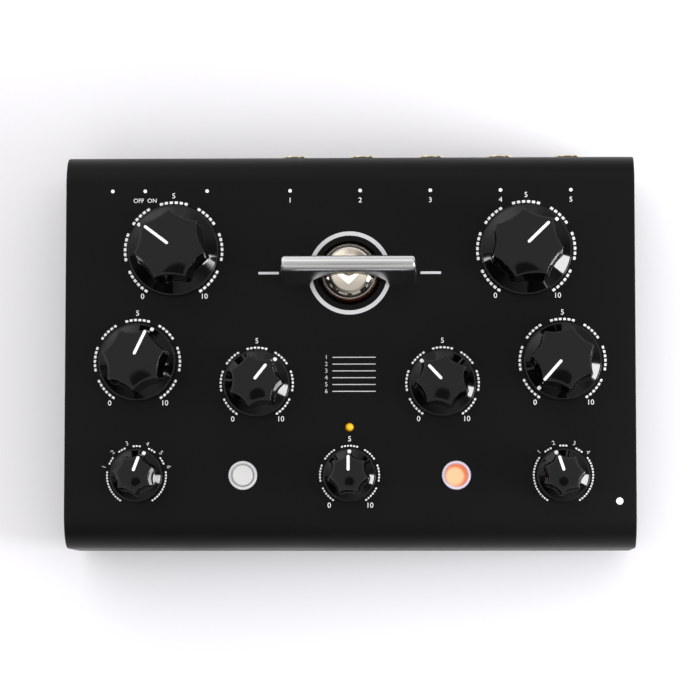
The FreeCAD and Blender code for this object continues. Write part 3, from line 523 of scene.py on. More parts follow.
def grain_group():
    """Fine even grain, as on powder coat, plastic or rubber, with slow changes over the surface."""
    tree, entry, leave = new_group("fine_grain", [("Scale", 900.0), ("Patch Scale", 22.0)],
                                   [("Shade", FLOAT_OUT), ("Gloss", FLOAT_OUT), ("Height", FLOAT_OUT)])
    fine = noise(tree, entry.outputs["Scale"], 3.0, 0.6)
    broad = noise(tree, entry.outputs["Patch Scale"], 4.0, 0.55)
    shade = math_node(tree, "MULTIPLY", fine, 0.6)
    shade = math_node(tree, "ADD", shade, math_node(tree, "MULTIPLY", broad, 0.4), clamp=True)
    tree.links.new(shade, leave.inputs["Shade"])
    tree.links.new(stepped(tree, broad, 0.35, 0.68), leave.inputs["Gloss"])
    tree.links.new(fine, leave.inputs["Height"])
    return tree


def brushed_group():
    """Fine lines along X, as on drawn and brushed metal."""
    tree, entry, leave = new_group("brushed_lines", [("Patch Scale", 60.0)],
                                   [("Shade", FLOAT_OUT), ("Gloss", FLOAT_OUT), ("Height", FLOAT_OUT)])
    lines = noise(tree, 1.0, 5.0, 0.7, stretch=(60.0, 5200.0, 5200.0))
    broad = noise(tree, entry.outputs["Patch Scale"], 3.0, 0.5)
    shade = math_node(tree, "ADD", math_node(tree, "MULTIPLY", lines, 0.7),
                      math_node(tree, "MULTIPLY", broad, 0.3), clamp=True)
    tree.links.new(shade, leave.inputs["Shade"])
    tree.links.new(stepped(tree, broad, 0.3, 0.7), leave.inputs["Gloss"])
    tree.links.new(lines, leave.inputs["Height"])
    return tree


def group_in(material, group):
    """Place a shared node group in a material."""
    node = material.node_tree.nodes.new("ShaderNodeGroup")
    node.node_tree = bpy.data.node_groups.get(group) or GROUP_MAKERS[group]()
    return node


GROUP_MAKERS = {"fine_grain": grain_group, "brushed_lines": brushed_group}


# Finishes

def new_material(name):
    """An empty node material with a Principled shader."""
    material = bpy.data.materials.new(name)
    material.use_nodes = True
    tree = material.node_tree
    tree.nodes.clear()
    shader = tree.nodes.new("ShaderNodeBsdfPrincipled")
    leave = tree.nodes.new("ShaderNodeOutputMaterial")
    tree.links.new(shader.outputs["BSDF"], leave.inputs["Surface"])
    return material, tree, shader


def blend_colour(tree, share, first, second):
    """Mix two colours by a value that changes over the surface."""
    node = tree.nodes.new("ShaderNodeMix")
    node.data_type = "RGBA"
    tree.links.new(share, node.inputs["Factor"])
    for value, label in ((first, "A"), (second, "B")):
        socket = [one for one in node.inputs if one.name == label and one.type == "RGBA"][0]
        feed(tree, socket, value)
    return [one for one in node.outputs if one.type == "RGBA"][0]


def bump(tree, shader, height, strength, distance):
    """Raise the surface by a height that changes over it."""
    node = tree.nodes.new("ShaderNodeBump")
    node.inputs["Strength"].default_value = strength
    node.inputs["Distance"].default_value = distance * MM
    tree.links.new(height, node.inputs["Height"])
    tree.links.new(node.outputs["Normal"], shader.inputs["Normal"])


def tint(colour, factor):
    return tuple(min(1.0, channel * factor) for channel in colour)


def paint(colour):
    """A grey, a colour as written, or one of the settings' colours times a factor."""
    if isinstance(colour, float):
        return (colour,) * 3
    if isinstance(colour[0], str):
        return tint(getattr(settings(), colour[0]), colour[1])
    return colour


def grained(name, dark, light, rough, relief, group="fine_grain", metallic=0.0, scales=(), **extra):
    """A finish with a little change of colour, gloss and relief from one of the shared effects."""
    name = "finish_" + name
    if name in bpy.data.materials:
        return bpy.data.materials[name]
    material, tree, shader = new_material(name)
    effect = group_in(material, group)
    for label, value in zip(("Scale", "Patch Scale"), scales):
        effect.inputs[label].default_value = value
    colour = blend_colour(tree, effect.outputs["Shade"], paint(dark), paint(light))
    tree.links.new(colour, shader.inputs["Base Color"])
    gloss = stepped(tree, effect.outputs["Gloss"], 0.0, 1.0, *rough)
    tree.links.new(gloss, shader.inputs["Roughness"])
    bump(tree, shader, effect.outputs["Height"], *relief)
    shader.inputs["Metallic"].default_value = metallic
    for label, value in extra.items():
        shader.inputs[label.replace("_", " ")].default_value = value
    return material


# Finishes of the scene's own pieces: dark and light colour, span of the roughness, strength and depth of the
# relief, scales of the grain and of its patches, and other inputs of the shader
POWDER = {"scales": (2600.0, 14.0), "relief": (0.10, 0.02), "Specular_IOR_Level": 0.15}
PALE = {"rough": (0.22, 0.30), "scales": (1800.0, 160.0), "relief": (0.04, 0.008),
        "Coat_Weight": 0.25, "Coat_Roughness": 0.08}
INK = {"rough": (0.55, 0.68), "scales": (4000.0, 120.0), "relief": (0.08, 0.004)}
FINISHES = {
    "case_coat": {"dark": ("coat_colour", 0.85), "light": ("coat_colour", 1.2), "rough": (0.40, 0.46),
                  **POWDER},
    "tray_coat": {"dark": 0.0035, "light": 0.005, "rough": (0.42, 0.50),
                  **POWDER},
    "knob_plastic": {"dark": ("knob_colour", 0.8), "light": ("knob_colour", 1.25), "rough": (0.05, 0.10),
                     "scales": (1500.0, 60.0), "relief": (0.02, 0.008)},
    "line_white": {"dark": ("mark_colour", 0.95), "light": ("mark_colour", 1.0), "rough": (0.45, 0.55),
                   "scales": (3000.0, 200.0), "relief": (0.05, 0.005)},
    "print_ink": {"dark": ("print_colour", 0.88), "light": ("print_colour", 1.0), **INK},
    "pale_ink": {"dark": (0.55, 0.55, 0.57), "light": (0.62, 0.62, 0.64), **INK},
    "satin_aluminium": {"dark": (0.75, 0.755, 0.76), "light": (0.82, 0.825, 0.83), "rough": (0.19, 0.23),
                        "group": "brushed_lines", "metallic": 1.0, "relief": (0.5, 0.022)},
    "black_plastic": {"dark": 0.006, "light": 0.012, "rough": (0.32, 0.45),
                      "scales": (1600.0, 90.0), "relief": (0.10, 0.015)},
    "black_steel": {"dark": 0.02, "light": (0.04, 0.04, 0.042), "rough": (0.28, 0.40),
                    "metallic": 0.9, "scales": (1600.0, 150.0), "relief": (0.06, 0.01)},
    "contact_metal": {"dark": (0.62, 0.54, 0.38), "light": (0.74, 0.67, 0.50), "rough": (0.20, 0.30),
                      "metallic": 1.0, "scales": (1600.0, 150.0), "relief": (0.04, 0.01)},
    "polished_nickel": {"dark": (0.78, 0.74, 0.66), "light": (0.86, 0.83, 0.76), "rough": (0.06, 0.14),
                        "metallic": 1.0, "scales": (1800.0, 150.0), "relief": (0.03, 0.01)},
    "rim_metal": {"dark": (0.86, 0.74, 0.50), "light": (0.92, 0.82, 0.60), "rough": (0.10, 0.18),
                  "metallic": 1.0, "scales": (1800.0, 150.0), "relief": (0.02, 0.008)},
    "bezel_plastic": {"dark": (0.58, 0.58, 0.60), "light": (0.66, 0.66, 0.68), **PALE},
    # Bezel of the lit button: bezel plastic with the lavender glow of its cap painted into its colour
    "lit_bezel_plastic": {"dark": (0.60, 0.55, 0.66), "light": (0.68, 0.62, 0.74), **PALE},
    "cap_plastic": {"dark": 0.60, "light": 0.67, **PALE},
    "foot_rubber": {"dark": 0.008, "light": 0.018, "rough": (0.62, 0.8),
                    "scales": (1400.0, 90.0), "relief": (0.25, 0.04)},
    "mirror_silver": {"dark": (0.80, 0.73, 0.62), "light": (0.84, 0.77, 0.67), "rough": (0.015, 0.035),
                      "metallic": 1.0, "scales": (700.0, 160.0), "relief": (0.01, 0.004)},
    # Brown getter fringe: the brown is its own colour, and its weak red emission is a painted glow of the heater
    "amber_fringe": {"dark": (0.03, 0.005, 0.001), "light": (0.08, 0.016, 0.003), "rough": (0.12, 0.25),
                     "scales": (500.0, 260.0), "relief": (0.02, 0.004),
                     "Emission_Color": (0.30, 0.035, 0.006, 1.0), "Emission_Strength": 0.06},
    "clear_glass": {"dark": 0.97, "light": 1.0, "rough": (0.0, 0.015),
                    "scales": (400.0, 80.0), "relief": (0.004, 0.004),
                    "Transmission_Weight": 1.0, "IOR": 1.5},
    "floor_paper": {"dark": (0.875, 0.87, 0.905), "light": (0.89, 0.885, 0.92), "rough": (0.7, 0.8),
                    "scales": (300.0, 1.5), "relief": (0.02, 0.01)},
}


def finish(name):
    """One of the finishes of the scene's own pieces."""
    return grained(name, **FINISHES[name])


def radial_blend(tree, centre, radius, lean, low, high):
    """How far a point lies from a piece's middle towards its rim, with one side ahead of the other."""
    place = tree.nodes.new("ShaderNodeTexCoord").outputs["Object"]
    mapping = tree.nodes.new("ShaderNodeMapping")
    mapping.inputs["Location"].default_value = [-value / radius for value in centre]
    mapping.inputs["Scale"].default_value = [1 / radius] * 3
    tree.links.new(place, mapping.inputs["Vector"])
    parts = tree.nodes.new("ShaderNodeSeparateXYZ")
    tree.links.new(mapping.outputs["Vector"], parts.inputs["Vector"])
    x, y = parts.outputs["X"], parts.outputs["Y"]
    squares = math_node(tree, "ADD", math_node(tree, "MULTIPLY", x, x),
                        math_node(tree, "MULTIPLY", y, y))
    away = math_node(tree, "SQRT", squares)
    side = math_node(tree, "ADD", math_node(tree, "MULTIPLY", x, lean[0]),
                     math_node(tree, "MULTIPLY", y, lean[1]))
    return stepped(tree, math_node(tree, "ADD", away, side), low, high)


def lit_plastic(centre):
    """Milky plastic with a lamp below it: pale in the middle, the lamp's own colour at its rim."""
    colour = tuple(settings().lamp_colour)
    material, tree, shader = new_material("lit_plastic")
    effect = group_in(material, "fine_grain")
    effect.inputs["Scale"].default_value = 900.0
    rim = radial_blend(tree, centre, CAP["radius"] * MM, (0.20, 0.16), 0.62, 1.06)
    glow = blend_colour(tree, rim, (1.0, 0.72, 0.40), colour)
    tree.links.new(glow, shader.inputs["Emission Color"])
    tree.links.new(blend_colour(tree, effect.outputs["Shade"], tint(colour, 0.12), tint(colour, 0.16)),
                   shader.inputs["Base Color"])
    tree.links.new(stepped(tree, effect.outputs["Gloss"], 0.0, 1.0, 0.22, 0.32), shader.inputs["Roughness"])
    shader.inputs["Emission Strength"].default_value = 0.85
    return material


def light_plastic(centre):
    """Clear yellow plastic of the indicator light, deeper in colour towards its rim."""
    material, tree, shader = new_material("light_plastic")
    effect = group_in(material, "fine_grain")
    effect.inputs["Scale"].default_value = 1600.0
    rim = radial_blend(tree, centre, LIGHT_RADIUS * MM, (-0.1, 0.0), 0.45, 1.05)
    colour = blend_colour(tree, rim, (0.78, 0.47, 0.012), (0.50, 0.24, 0.004))
    tree.links.new(colour, shader.inputs["Base Color"])
    glow = blend_colour(tree, rim, (0.34, 0.20, 0.005), (0.16, 0.07, 0.001))
    tree.links.new(glow, shader.inputs["Emission Color"])
    tree.links.new(stepped(tree, effect.outputs["Gloss"], 0.0, 1.0, 0.10, 0.18), shader.inputs["Roughness"])
    shader.inputs["Emission Strength"].default_value = 0.6
    return material


# Slots of the nodes that keep their own shape: dark and light colour, span of the roughness and metal
PLAIN_FINISHES = {
    "case_paint": (0.006, 0.009, (0.40, 0.46), 0.0),
    "tray_paint": (0.006, 0.010, (0.42, 0.50), 0.0),
    "zinc": ((0.46, 0.46, 0.45), (0.62, 0.62, 0.60), (0.30, 0.42), 1.0),
    "black_steel": (0.02, (0.045, 0.045, 0.047), (0.30, 0.42), 0.9),
    "nickel": ((0.74, 0.71, 0.65), (0.82, 0.80, 0.75), (0.12, 0.2), 1.0),
    "valve_metal": (0.10, 0.18, (0.42, 0.55), 0.8),
    "mica": ((0.38, 0.33, 0.24), (0.55, 0.50, 0.38), (0.20, 0.35), 0.0),
    "ceramic": ((0.70, 0.68, 0.62), (0.80, 0.78, 0.72), (0.16, 0.25), 0.0),
    "shaft_metal": (0.60, 0.74, (0.25, 0.35), 1.0),
    "housing_metal": ((0.42, 0.42, 0.41), (0.56, 0.56, 0.54), (0.32, 0.45), 1.0),
    "wafer": ((0.16, 0.08, 0.03), (0.28, 0.15, 0.06), (0.45, 0.6), 0.0),
    "board_green": ((0.008, 0.07, 0.035), (0.012, 0.10, 0.05), (0.28, 0.4), 0.0),
    "black_plastic": (0.010, 0.022, (0.38, 0.5), 0.0),
    "contact_metal": ((0.62, 0.52, 0.34), (0.74, 0.66, 0.48), (0.22, 0.32), 1.0),
    "can_sleeve": ((0.012, 0.012, 0.016), (0.024, 0.024, 0.03), (0.25, 0.35), 0.0),
    "ribbon_grey": ((0.30, 0.30, 0.31), (0.42, 0.42, 0.43), (0.45, 0.55), 0.0),
    "foot_rubber": (0.008, 0.018, (0.62, 0.8), 0.0),
    "guard_aluminium": ((0.74, 0.745, 0.76), (0.84, 0.845, 0.86), (0.24, 0.31), 1.0),
    "knob_plastic": (0.004, 0.006, (0.08, 0.12), 0.0),
    "bezel_plastic": ((0.6, 0.59, 0.62), (0.68, 0.67, 0.70), (0.25, 0.35), 0.0),
    "cap_plastic": ((0.64, 0.63, 0.61), (0.72, 0.71, 0.68), (0.3, 0.4), 0.0),
    # cap_lit: the orange glow of the lit cap painted into its colour, with no emission
    "cap_lit": ((0.9, 0.55, 0.3), (0.95, 0.65, 0.4), (0.3, 0.4), 0.0),
    "led_yellow": ((0.8, 0.6, 0.1), (0.95, 0.75, 0.2), (0.1, 0.2), 0.0),
    "glass": (0.9, 1.0, (0.0, 0.02), 0.0),
}
BRUSHED_SLOTS = ("shaft_metal", "housing_metal", "ribbon_grey", "guard_aluminium")
NODE_RELIEF = (0.08, 0.01)


def plain_finish(slot):
    """The finish of a node that keeps its own shape."""
    dark, light, rough, metallic = PLAIN_FINISHES[slot]
    group = "brushed_lines" if slot in BRUSHED_SLOTS else "fine_grain"
    return grained("node_" + slot, dark, light, rough, NODE_RELIEF, group, metallic)


# Knobs

def flute_radius(mould, turn, below_top):
    """Radius of the fluted wall in a direction, at a depth below the top, in millimetres."""
    half_step = math.pi / FLUTES
    deep = mould["ridge"] * math.cos(half_step) - mould["sag"]
    spread = mould["ridge"] * math.sin(half_step)
    flute = (mould["sag"] ** 2 + spread ** 2) / (2 * mould["sag"])
    distance = deep + flute + below_top * math.tan(math.radians(FLUTE_DRAFT))
    off = (turn + half_step) % (2 * half_step) - half_step
    inside = flute ** 2 - (distance * math.sin(off)) ** 2
    wall = distance * math.cos(off) - math.sqrt(max(inside, 0.0))
    return soft_min(wall, mould["ridge"], RIDGE_SOFTNESS)


def soft_min(first, second, width):
    """The smaller of two lengths, rounded where they meet."""
    share = max(width - abs(first - second), 0.0) / width
    return min(first, second) - share * share * width / 4


def soft_max(first, second, width):
    return -soft_min(-first, -second, width)


def knob_outline(mould, skirt, top):
    """Outline of a knob as if its flutes were all round, from the bore to the middle of the top."""
    rounding = settings().knob_rounding / MM
    deep = mould["ridge"] * math.cos(math.pi / FLUTES) - mould["sag"]
    land = KNOB_GAP + SKIRT_EDGE
    run = skirt - SKIRT_LAND - deep
    rise = run * math.tan(math.radians(SKIRT_SLOPE))
    shoulder = top - DOME_RISE
    edge = 0.25
    outline = [(0, SHAFT_BORE[1]), (SHAFT_BORE[0], SHAFT_BORE[1]), (SHAFT_BORE[0], BUSHING_RECESS[1]),
               (BUSHING_RECESS[0], BUSHING_RECESS[1]), (BUSHING_RECESS[0], NUT_RECESS[1]),
               (NUT_RECESS[0], NUT_RECESS[1]), (NUT_RECESS[0], KNOB_GAP), (skirt - edge, KNOB_GAP)]
    outline += arc((skirt - edge, KNOB_GAP + edge), edge, -90, 0, 3)[1:]
    outline += arc((skirt - edge, land - edge), edge, 0, 90, 4)
    slope_rows = 16
    for row in range(slope_rows + 1):
        outline.append((skirt - SKIRT_LAND - run * row / slope_rows, land + rise * row / slope_rows))
    wall_rows = 8
    for row in range(1, wall_rows):
        outline.append((deep, land + rise + (shoulder - rounding - land - rise) * row / wall_rows))
    outline += arc((deep - rounding, shoulder - rounding), rounding, 0, 80, 4)
    top_rows = 7
    for row in range(1, top_rows + 1):
        outline.append(((deep - rounding) * (1 - row / top_rows), top))
    return outline


def knob_shape(name, mould, skirt, top):
    """One knob on the origin with its pointer to the rear: turned, then its flutes pressed in."""
    obj = turned(name, knob_outline(mould, skirt, top), FLUTES * FLUTE_STEPS)
    rounding = settings().knob_rounding / MM
    deep = mould["ridge"] * math.cos(math.pi / FLUTES) - mould["sag"]
    land = KNOB_GAP + SKIRT_EDGE
    shoulder = top - DOME_RISE
    sphere = (mould["ridge"] ** 2 + DOME_RISE ** 2) / (2 * DOME_RISE)
    for vertex in obj.data.vertices:
        radius = math.hypot(vertex.co.x, vertex.co.y) / MM
        height = vertex.co.z / MM
        recessed = any(radius < width + 0.01 and height < depth + 0.01
                       for width, depth in (NUT_RECESS, BUSHING_RECESS, SHAFT_BORE))
        if radius < 0.001 or height < land + 0.01 or recessed:
            if radius < 0.001 and height > shoulder:
                vertex.co.z = top * MM
            continue
        turn = math.atan2(vertex.co.x, vertex.co.y) + math.pi / FLUTES
        wall = flute_radius(mould, turn, top - height)
        if height > shoulder - rounding + 0.001:
            new_radius = wall * radius / deep
            rise = sphere - math.sqrt(sphere ** 2 - new_radius ** 2)
            edge_drop = sphere - math.sqrt(sphere ** 2 - wall ** 2)
            if height < top - 0.01:
                height = top - edge_drop - (shoulder - height)
            else:
                height = top - rise
        elif radius > deep + 0.001 or height > land:
            new_radius = soft_max(radius, wall, FOOT_SOFTNESS)
        factor = new_radius / radius
        vertex.co.x *= factor
        vertex.co.y *= factor
        vertex.co.z = height * MM
    hole = turned("set_screw_hole", [(0, 0), (SET_SCREW_HOLE, 0), (SET_SCREW_HOLE, skirt), (0, skirt)], 32)
    hole.rotation_euler = (math.radians(90), 0, 0)
    hole.location = (0, 0, SET_SCREW_HEIGHT * MM)
    pick(hole)
    bpy.ops.object.transform_apply(location=True, rotation=True, scale=True)
    cut(obj, hole)
    smooth(obj, 28)
    return obj


def marked_strip(name, width, start, end, rounding, heights, rows):
    """A strip with rounded ends along the pointer, whose top follows the heights of a surface."""
    obj = block(name, (-width / 2, start, 0), (width / 2, end, LINE_DEPTH))
    round_edges(obj, rounding, 5, lambda a, b: abs(a.z - b.z) > 0.1 * MM)
    for row in range(1, rows):
        cut_at(obj, start + (end - start) * row / rows)
    for vertex in obj.data.vertices:
        radius = math.hypot(vertex.co.x, vertex.co.y) / MM
        lift = heights(radius) + LINE_PROUD - LINE_DEPTH
        vertex.co.z += lift * MM
    return obj


class DELAYUNIT_OT_knobs(bpy.types.Operator):
    """Build the nine fluted knobs with their pointer lines"""

    bl_idname = "delay_unit.knobs"
    bl_label = "Knobs"

    def execute(self, context):
        masters = {}
        for dial, (mould_name, turn) in DIALS.items():
            mould = MOULDS[mould_name]
            low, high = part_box("knob_" + dial)
            place = dial_place(dial)
            if mould_name not in masters:
                skirt = (high.x - low.x) / 2 / MM
                top = (high.z - place.z) / MM
                masters[mould_name] = knob_shape("master", mould, skirt, top), self.lines(mould, skirt, top)
            knob_master, line_master = masters[mould_name]
            knob = copy_of(knob_master, "knob")
            settle(knob, place, turn)
            finish_piece(knob, "moulded_knob_" + dial, "dial_" + dial, "knob_plastic",
                         ["knob_" + dial])
            line = copy_of(line_master, "line")
            settle(line, place, turn)
            finish_piece(line, "pointer_line_" + dial, "dial_" + dial, "line_white")
        for pair in masters.values():
            for master in pair:
                bpy.data.objects.remove(master)
        return {"FINISHED"}

    @staticmethod
    def lines(mould, skirt, top):
        """The line on top of a knob and the short mark on its skirt."""
        sphere = (mould["ridge"] ** 2 + DOME_RISE ** 2) / (2 * DOME_RISE)
        land = KNOB_GAP + SKIRT_EDGE

        def dome(radius):
            return top - sphere + math.sqrt(sphere ** 2 - radius ** 2)

        def skirt_top(radius):
            return land + max(skirt - SKIRT_LAND - radius, 0.0) * math.tan(math.radians(SKIRT_SLOPE))

        long_line = marked_strip("line", LINE_WIDTH, *mould["line"], LINE_WIDTH * 0.499, dome, 12)
        short = marked_strip("mark", SKIRT_MARK_WIDTH, skirt - SKIRT_MARK[0], skirt - SKIRT_MARK[1],
                             SKIRT_MARK_WIDTH * 0.3, skirt_top, 6)
        both = joined("lines", [long_line, short])
        smooth(both, 40)
        return both


# Print on the panel

def dash_at(master, radius, turn, size):
    """One dash of a ring, at a radius and direction, in millimetres and degrees."""
    dash = copy_of(master, "dash")
    angle = math.radians(turn)
    scale = Matrix.Diagonal((size[0], size[1], 1, 1))
    spin = Matrix.Rotation(-angle, 4, "Z")
    move = Matrix.Translation((radius * math.sin(angle) * MM, radius * math.cos(angle) * MM, 0))
    dash.data.transform(move @ spin @ scale)
    return dash


def ring_turns(dial):
    """Directions of the dashes around a dial: even groups, or groups between the places of a switch."""
    turns = []
    if dial in SWITCH_RINGS:
        ring = SWITCH_RINGS[dial]
        for middle in ring["middles"]:
            turns += [middle - DASH_PITCH, middle, middle + DASH_PITCH]
        step = (SWITCH_RING_END - ring["from"]) / (ring["dashes"] - 1)
        for index in range(ring["dashes"]):
            turns += [ring["from"] + index * step, -ring["from"] - index * step]
        return turns
    for middle, count in DIAL_GROUPS:
        for index in range(count):
            turns.append(middle + (index - (count - 1) / 2) * DASH_PITCH)
    return turns


def around(centre, radius, turn):
    """Point on the panel at a radius in millimetres and a direction clockwise from the rear."""
    angle = math.radians(turn)
    x = centre.x + radius * MM * math.sin(angle)
    y = centre.y + radius * MM * math.cos(angle)
    return Vector((x, y, centre.z))


def lettering(text, size, place, turn=0.0):
    """Flat characters of a plain font, as a thin mesh on the panel."""
    start_clean()
    bpy.ops.object.text_add(location=(0, 0, 0))
    obj = bpy.context.object
    obj.data.body = text
    obj.data.size = size * MM
    obj.data.align_x = "CENTER"
    obj.data.align_y = "CENTER"
    obj.data.extrude = PRINT_THICKNESS / 2 * MM
    obj.data.resolution_u = 4
    bpy.ops.object.convert(target="MESH")
    settle(obj, place, turn)
    return obj


def flat_bar(low, high, place):
    """A thin printed bar between two corners in millimetres around a place on the panel."""
    bar = block("bar", (*low, -PRINT_THICKNESS / 2), (*high, PRINT_THICKNESS / 2))
    settle(bar, place)
    return bar


def flat_ring(outer, inner, place, steps=24):
    """A thin printed ring, or a dot where the inner radius is nothing."""
    low, high = -PRINT_THICKNESS / 2, PRINT_THICKNESS / 2
    outline = [(inner, low), (outer, low), (outer, high), (inner, high)]
    if inner:
        outline.append(outline[0])
    ring = turned("ring", outline, steps)
    settle(ring, place)
    return ring


class DELAYUNIT_OT_print(bpy.types.Operator):
    """Print the rings of dashes, the dots and the plain numbers on the panel"""

    bl_idname = "delay_unit.print"
    bl_label = "Panel print"

    def execute(self, context):
        master = block("dash", (-0.5, -0.5, -PRINT_THICKNESS / 2), (0.5, 0.5, PRINT_THICKNESS / 2))
        round_edges(master, 0.14, 2, lambda a, b: abs(a.z - b.z) > 0.5 * PRINT_THICKNESS * MM)
        for dial, (mould_name, turn) in DIALS.items():
            radius = MOULDS[mould_name]["scale"]
            pitch = radius * math.radians(DASH_PITCH)
            size = (pitch * DASH_LENGTH_SHARE, pitch * DASH_WIDTH_SHARE)
            dashes = [dash_at(master, radius, angle, size) for angle in ring_turns(dial)]
            ring = joined("ring", dashes)
            settle(ring, dial_place(dial))
            finish_piece(ring, "ring_print_" + dial, "case", "print_ink")
        bpy.data.objects.remove(master)
        self.dial_numbers()
        self.rear_marks()
        self.middle_marks()
        return {"FINISHED"}

    @staticmethod
    def dial_numbers():
        """Plain numbers around the dials: 0, 5 and 10, or the places of a switch."""
        strong = []
        faint = []
        for dial, (mould_name, turn) in DIALS.items():
            centre = dial_place(dial)
            radius = MOULDS[mould_name]["scale"]
            if dial in SWITCH_RINGS:
                size, room = SWITCH_TEXT
                for index, angle in enumerate(SWITCH_RINGS[dial]["numbers"]):
                    faint.append(lettering(str(index + 1), size, around(centre, radius + room, angle), angle))
                continue
            size, room = DIAL_TEXT
            for text, angle in (("0", -SCALE_ENDS), ("5", 0), ("10", SCALE_ENDS)):
                strong.append(lettering(text, size, around(centre, radius + room, angle)))
        finish_piece(joined("numbers", strong), "scale_numbers", "case", "print_ink")
        finish_piece(joined("numbers", faint), "switch_numbers", "case", "pale_ink")

    @staticmethod
    def rear_marks():
        """A dot over each rear socket and the power switch, numbers for the jacks, and ON and OFF."""
        low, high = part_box("top_cover")
        marks = []
        places = rear_places()
        for x in places["jacks"] + [places["switch"], places["din"], places["inlet"]]:
            marks.append(flat_ring(REAR_DOT, 0, (x, high.y - REAR_DOT_ROOM * MM, high.z)))
        row = high.y - REAR_NUMBER_ROOM * MM
        for index, x in enumerate(places["jacks"]):
            marks.append(lettering(str(index + 1), JACK_TEXT, (x, row, high.z)))
        marks.append(lettering("OFF  ON", SMALL_TEXT, (places["switch"], row, high.z)))
        corner = (high.x - CORNER_DOT["side"] * MM, low.y + CORNER_DOT["front"] * MM, high.z)
        marks.append(flat_ring(CORNER_DOT["radius"], 0, corner, 32))
        finish_piece(joined("marks", marks), "edge_marks", "case", "print_ink")

    @staticmethod
    def middle_marks():
        """A plain ring and two ticks around the valve, and the numbered lines above the light."""
        valve = centre_of("valve_socket")
        top = panel_top()
        place = Vector((valve.x, valve.y, top))
        start, end, width = SIDE_TICK
        shapes = [flat_ring(*RING_PRINT, place, 128)]
        for side in (-1, 1):
            across = sorted((side * start, side * end))
            shapes.append(flat_bar((across[0], -width / 2), (across[1], width / 2), place))
        finish_piece(joined("shapes", shapes), "valve_ring_print", "case", "pale_ink")
        lines = []
        first = centre_of("status_led").y + LIST_RISE * MM
        left, right, half = LIST_BAR
        for index in range(LIST_LINES):
            y = first - index * LIST_PITCH * MM
            lines.append(lettering(str(index + 1), SMALL_TEXT, (LIST_NUMBER * MM, y, top)))
            lines.append(flat_bar((left, -half), (right, half), (0, y, top)))
        finish_piece(joined("lines", lines), "place_list", "case", "pale_ink")


def rear_places():
    """X of each rear socket, and of the middle of the power switch."""
    low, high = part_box("jack_nuts")
    half = (high.z - low.z) / 2
    first = low.x + half
    step = (high.x - half - first) / 4
    return {"jacks": [first + step * index for index in range(5)],
            "switch": centre_of("power_switch_case").x,
            "din": centre_of("midi_socket").x, "inlet": centre_of("dc_socket").x}


# Case, valve, buttons and sockets

class DELAYUNIT_OT_cover(bpy.types.Operator):
    """Fold the top cover out of one sheet and drill it"""

    bl_idname = "delay_unit.cover"
    bl_label = "Top cover"

    def execute(self, context):
        low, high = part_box("top_cover")
        cover = block("cover", low / MM, high / MM)
        middle = (low + high) / 2

        def along(a, b):
            return abs(a.x - b.x) > 0.05

        foot = low.z + 0.1 * MM
        round_edges(cover, FRONT_BEND, 20,
                    lambda a, b: along(a, b) and a.y < middle.y and a.z > middle.z)
        round_edges(cover, REAR_BEND, 20,
                    lambda a, b: along(a, b) and a.y > high.y - MM and a.z > high.z - MM)
        round_edges(cover, LOWER_BEND, 6, lambda a, b: along(a, b) and a.z < foot and b.z < foot)
        for y in (low.y / MM + FLANGE, high.y / MM - FLANGE):
            cut_at(cover, y)
        inner_front, inner_rear = low.y + FLANGE * MM, high.y - FLANGE * MM
        remove_faces(cover, lambda middle, normal: abs(normal.x) > 0.9
                     or normal.z < -0.9 and inner_front < middle.y < inner_rear)
        apply_modifier(cover, "SOLIDIFY", thickness=SHEET * MM, offset=-1.0, use_even_offset=True)
        apply_modifier(cover, "BEVEL", width=SIDE_EDGE * MM, segments=3, limit_method="ANGLE",
                       angle_limit=math.radians(60), miter_outer="MITER_ARC")
        top = high.z
        drills = []
        for dial in DIALS:
            drills.append(drill(BUSHING_HOLE, dial_place(dial), 8))
        for node in ("cap_tap", "cap_bypass"):
            middle = centre_of(node)
            drills.append(drill(BEZEL_HOLE, (middle.x, middle.y, top), 8))
        light = centre_of("status_led")
        drills.append(drill(LIGHT_HOLE, (light.x, light.y, top), 8, sides=48))
        valve = centre_of("valve_socket")
        drills.append(drill(VALVE_HOLE, (valve.x, valve.y, top), 8, sides=128))
        places = rear_places()
        for x in places["jacks"]:
            drills.append(drill(JACK_HOLE, (x, high.y, centre_of("jack_nuts").z), 8, True))
        drills.append(drill(INLET_HOLE, (places["inlet"], high.y, centre_of("dc_pin").z), 8, True))
        drills.append(drill(DIN_HOLE, (places["din"], high.y, centre_of("midi_core").z), 8, True))
        slider = centre_of("power_slider")
        half_width, half_height = SLIDER_WINDOW
        window = block("window", (-half_width, -4, -half_height), (half_width, 4, half_height))
        settle(window, (places["switch"], high.y, slider.z))
        drills.append(window)
        cut(cover, joined("drills", drills))
        smooth(cover, 25)
        finish_piece(cover, "folded_cover", "case", "case_coat", ["top_cover"])
        return {"FINISHED"}


class DELAYUNIT_OT_underside(bpy.types.Operator):
    """Finish the tray, the feet and the screws that close the case"""

    bl_idname = "delay_unit.underside"
    bl_label = "Tray and feet"

    def execute(self, context):
        refined("base_tray", "folded_tray", "tray_coat")
        refined("rubber_feet", "round_feet", "foot_rubber", 25)
        refined("case_screws", "closing_screws", "black_steel")
        return {"FINISHED"}


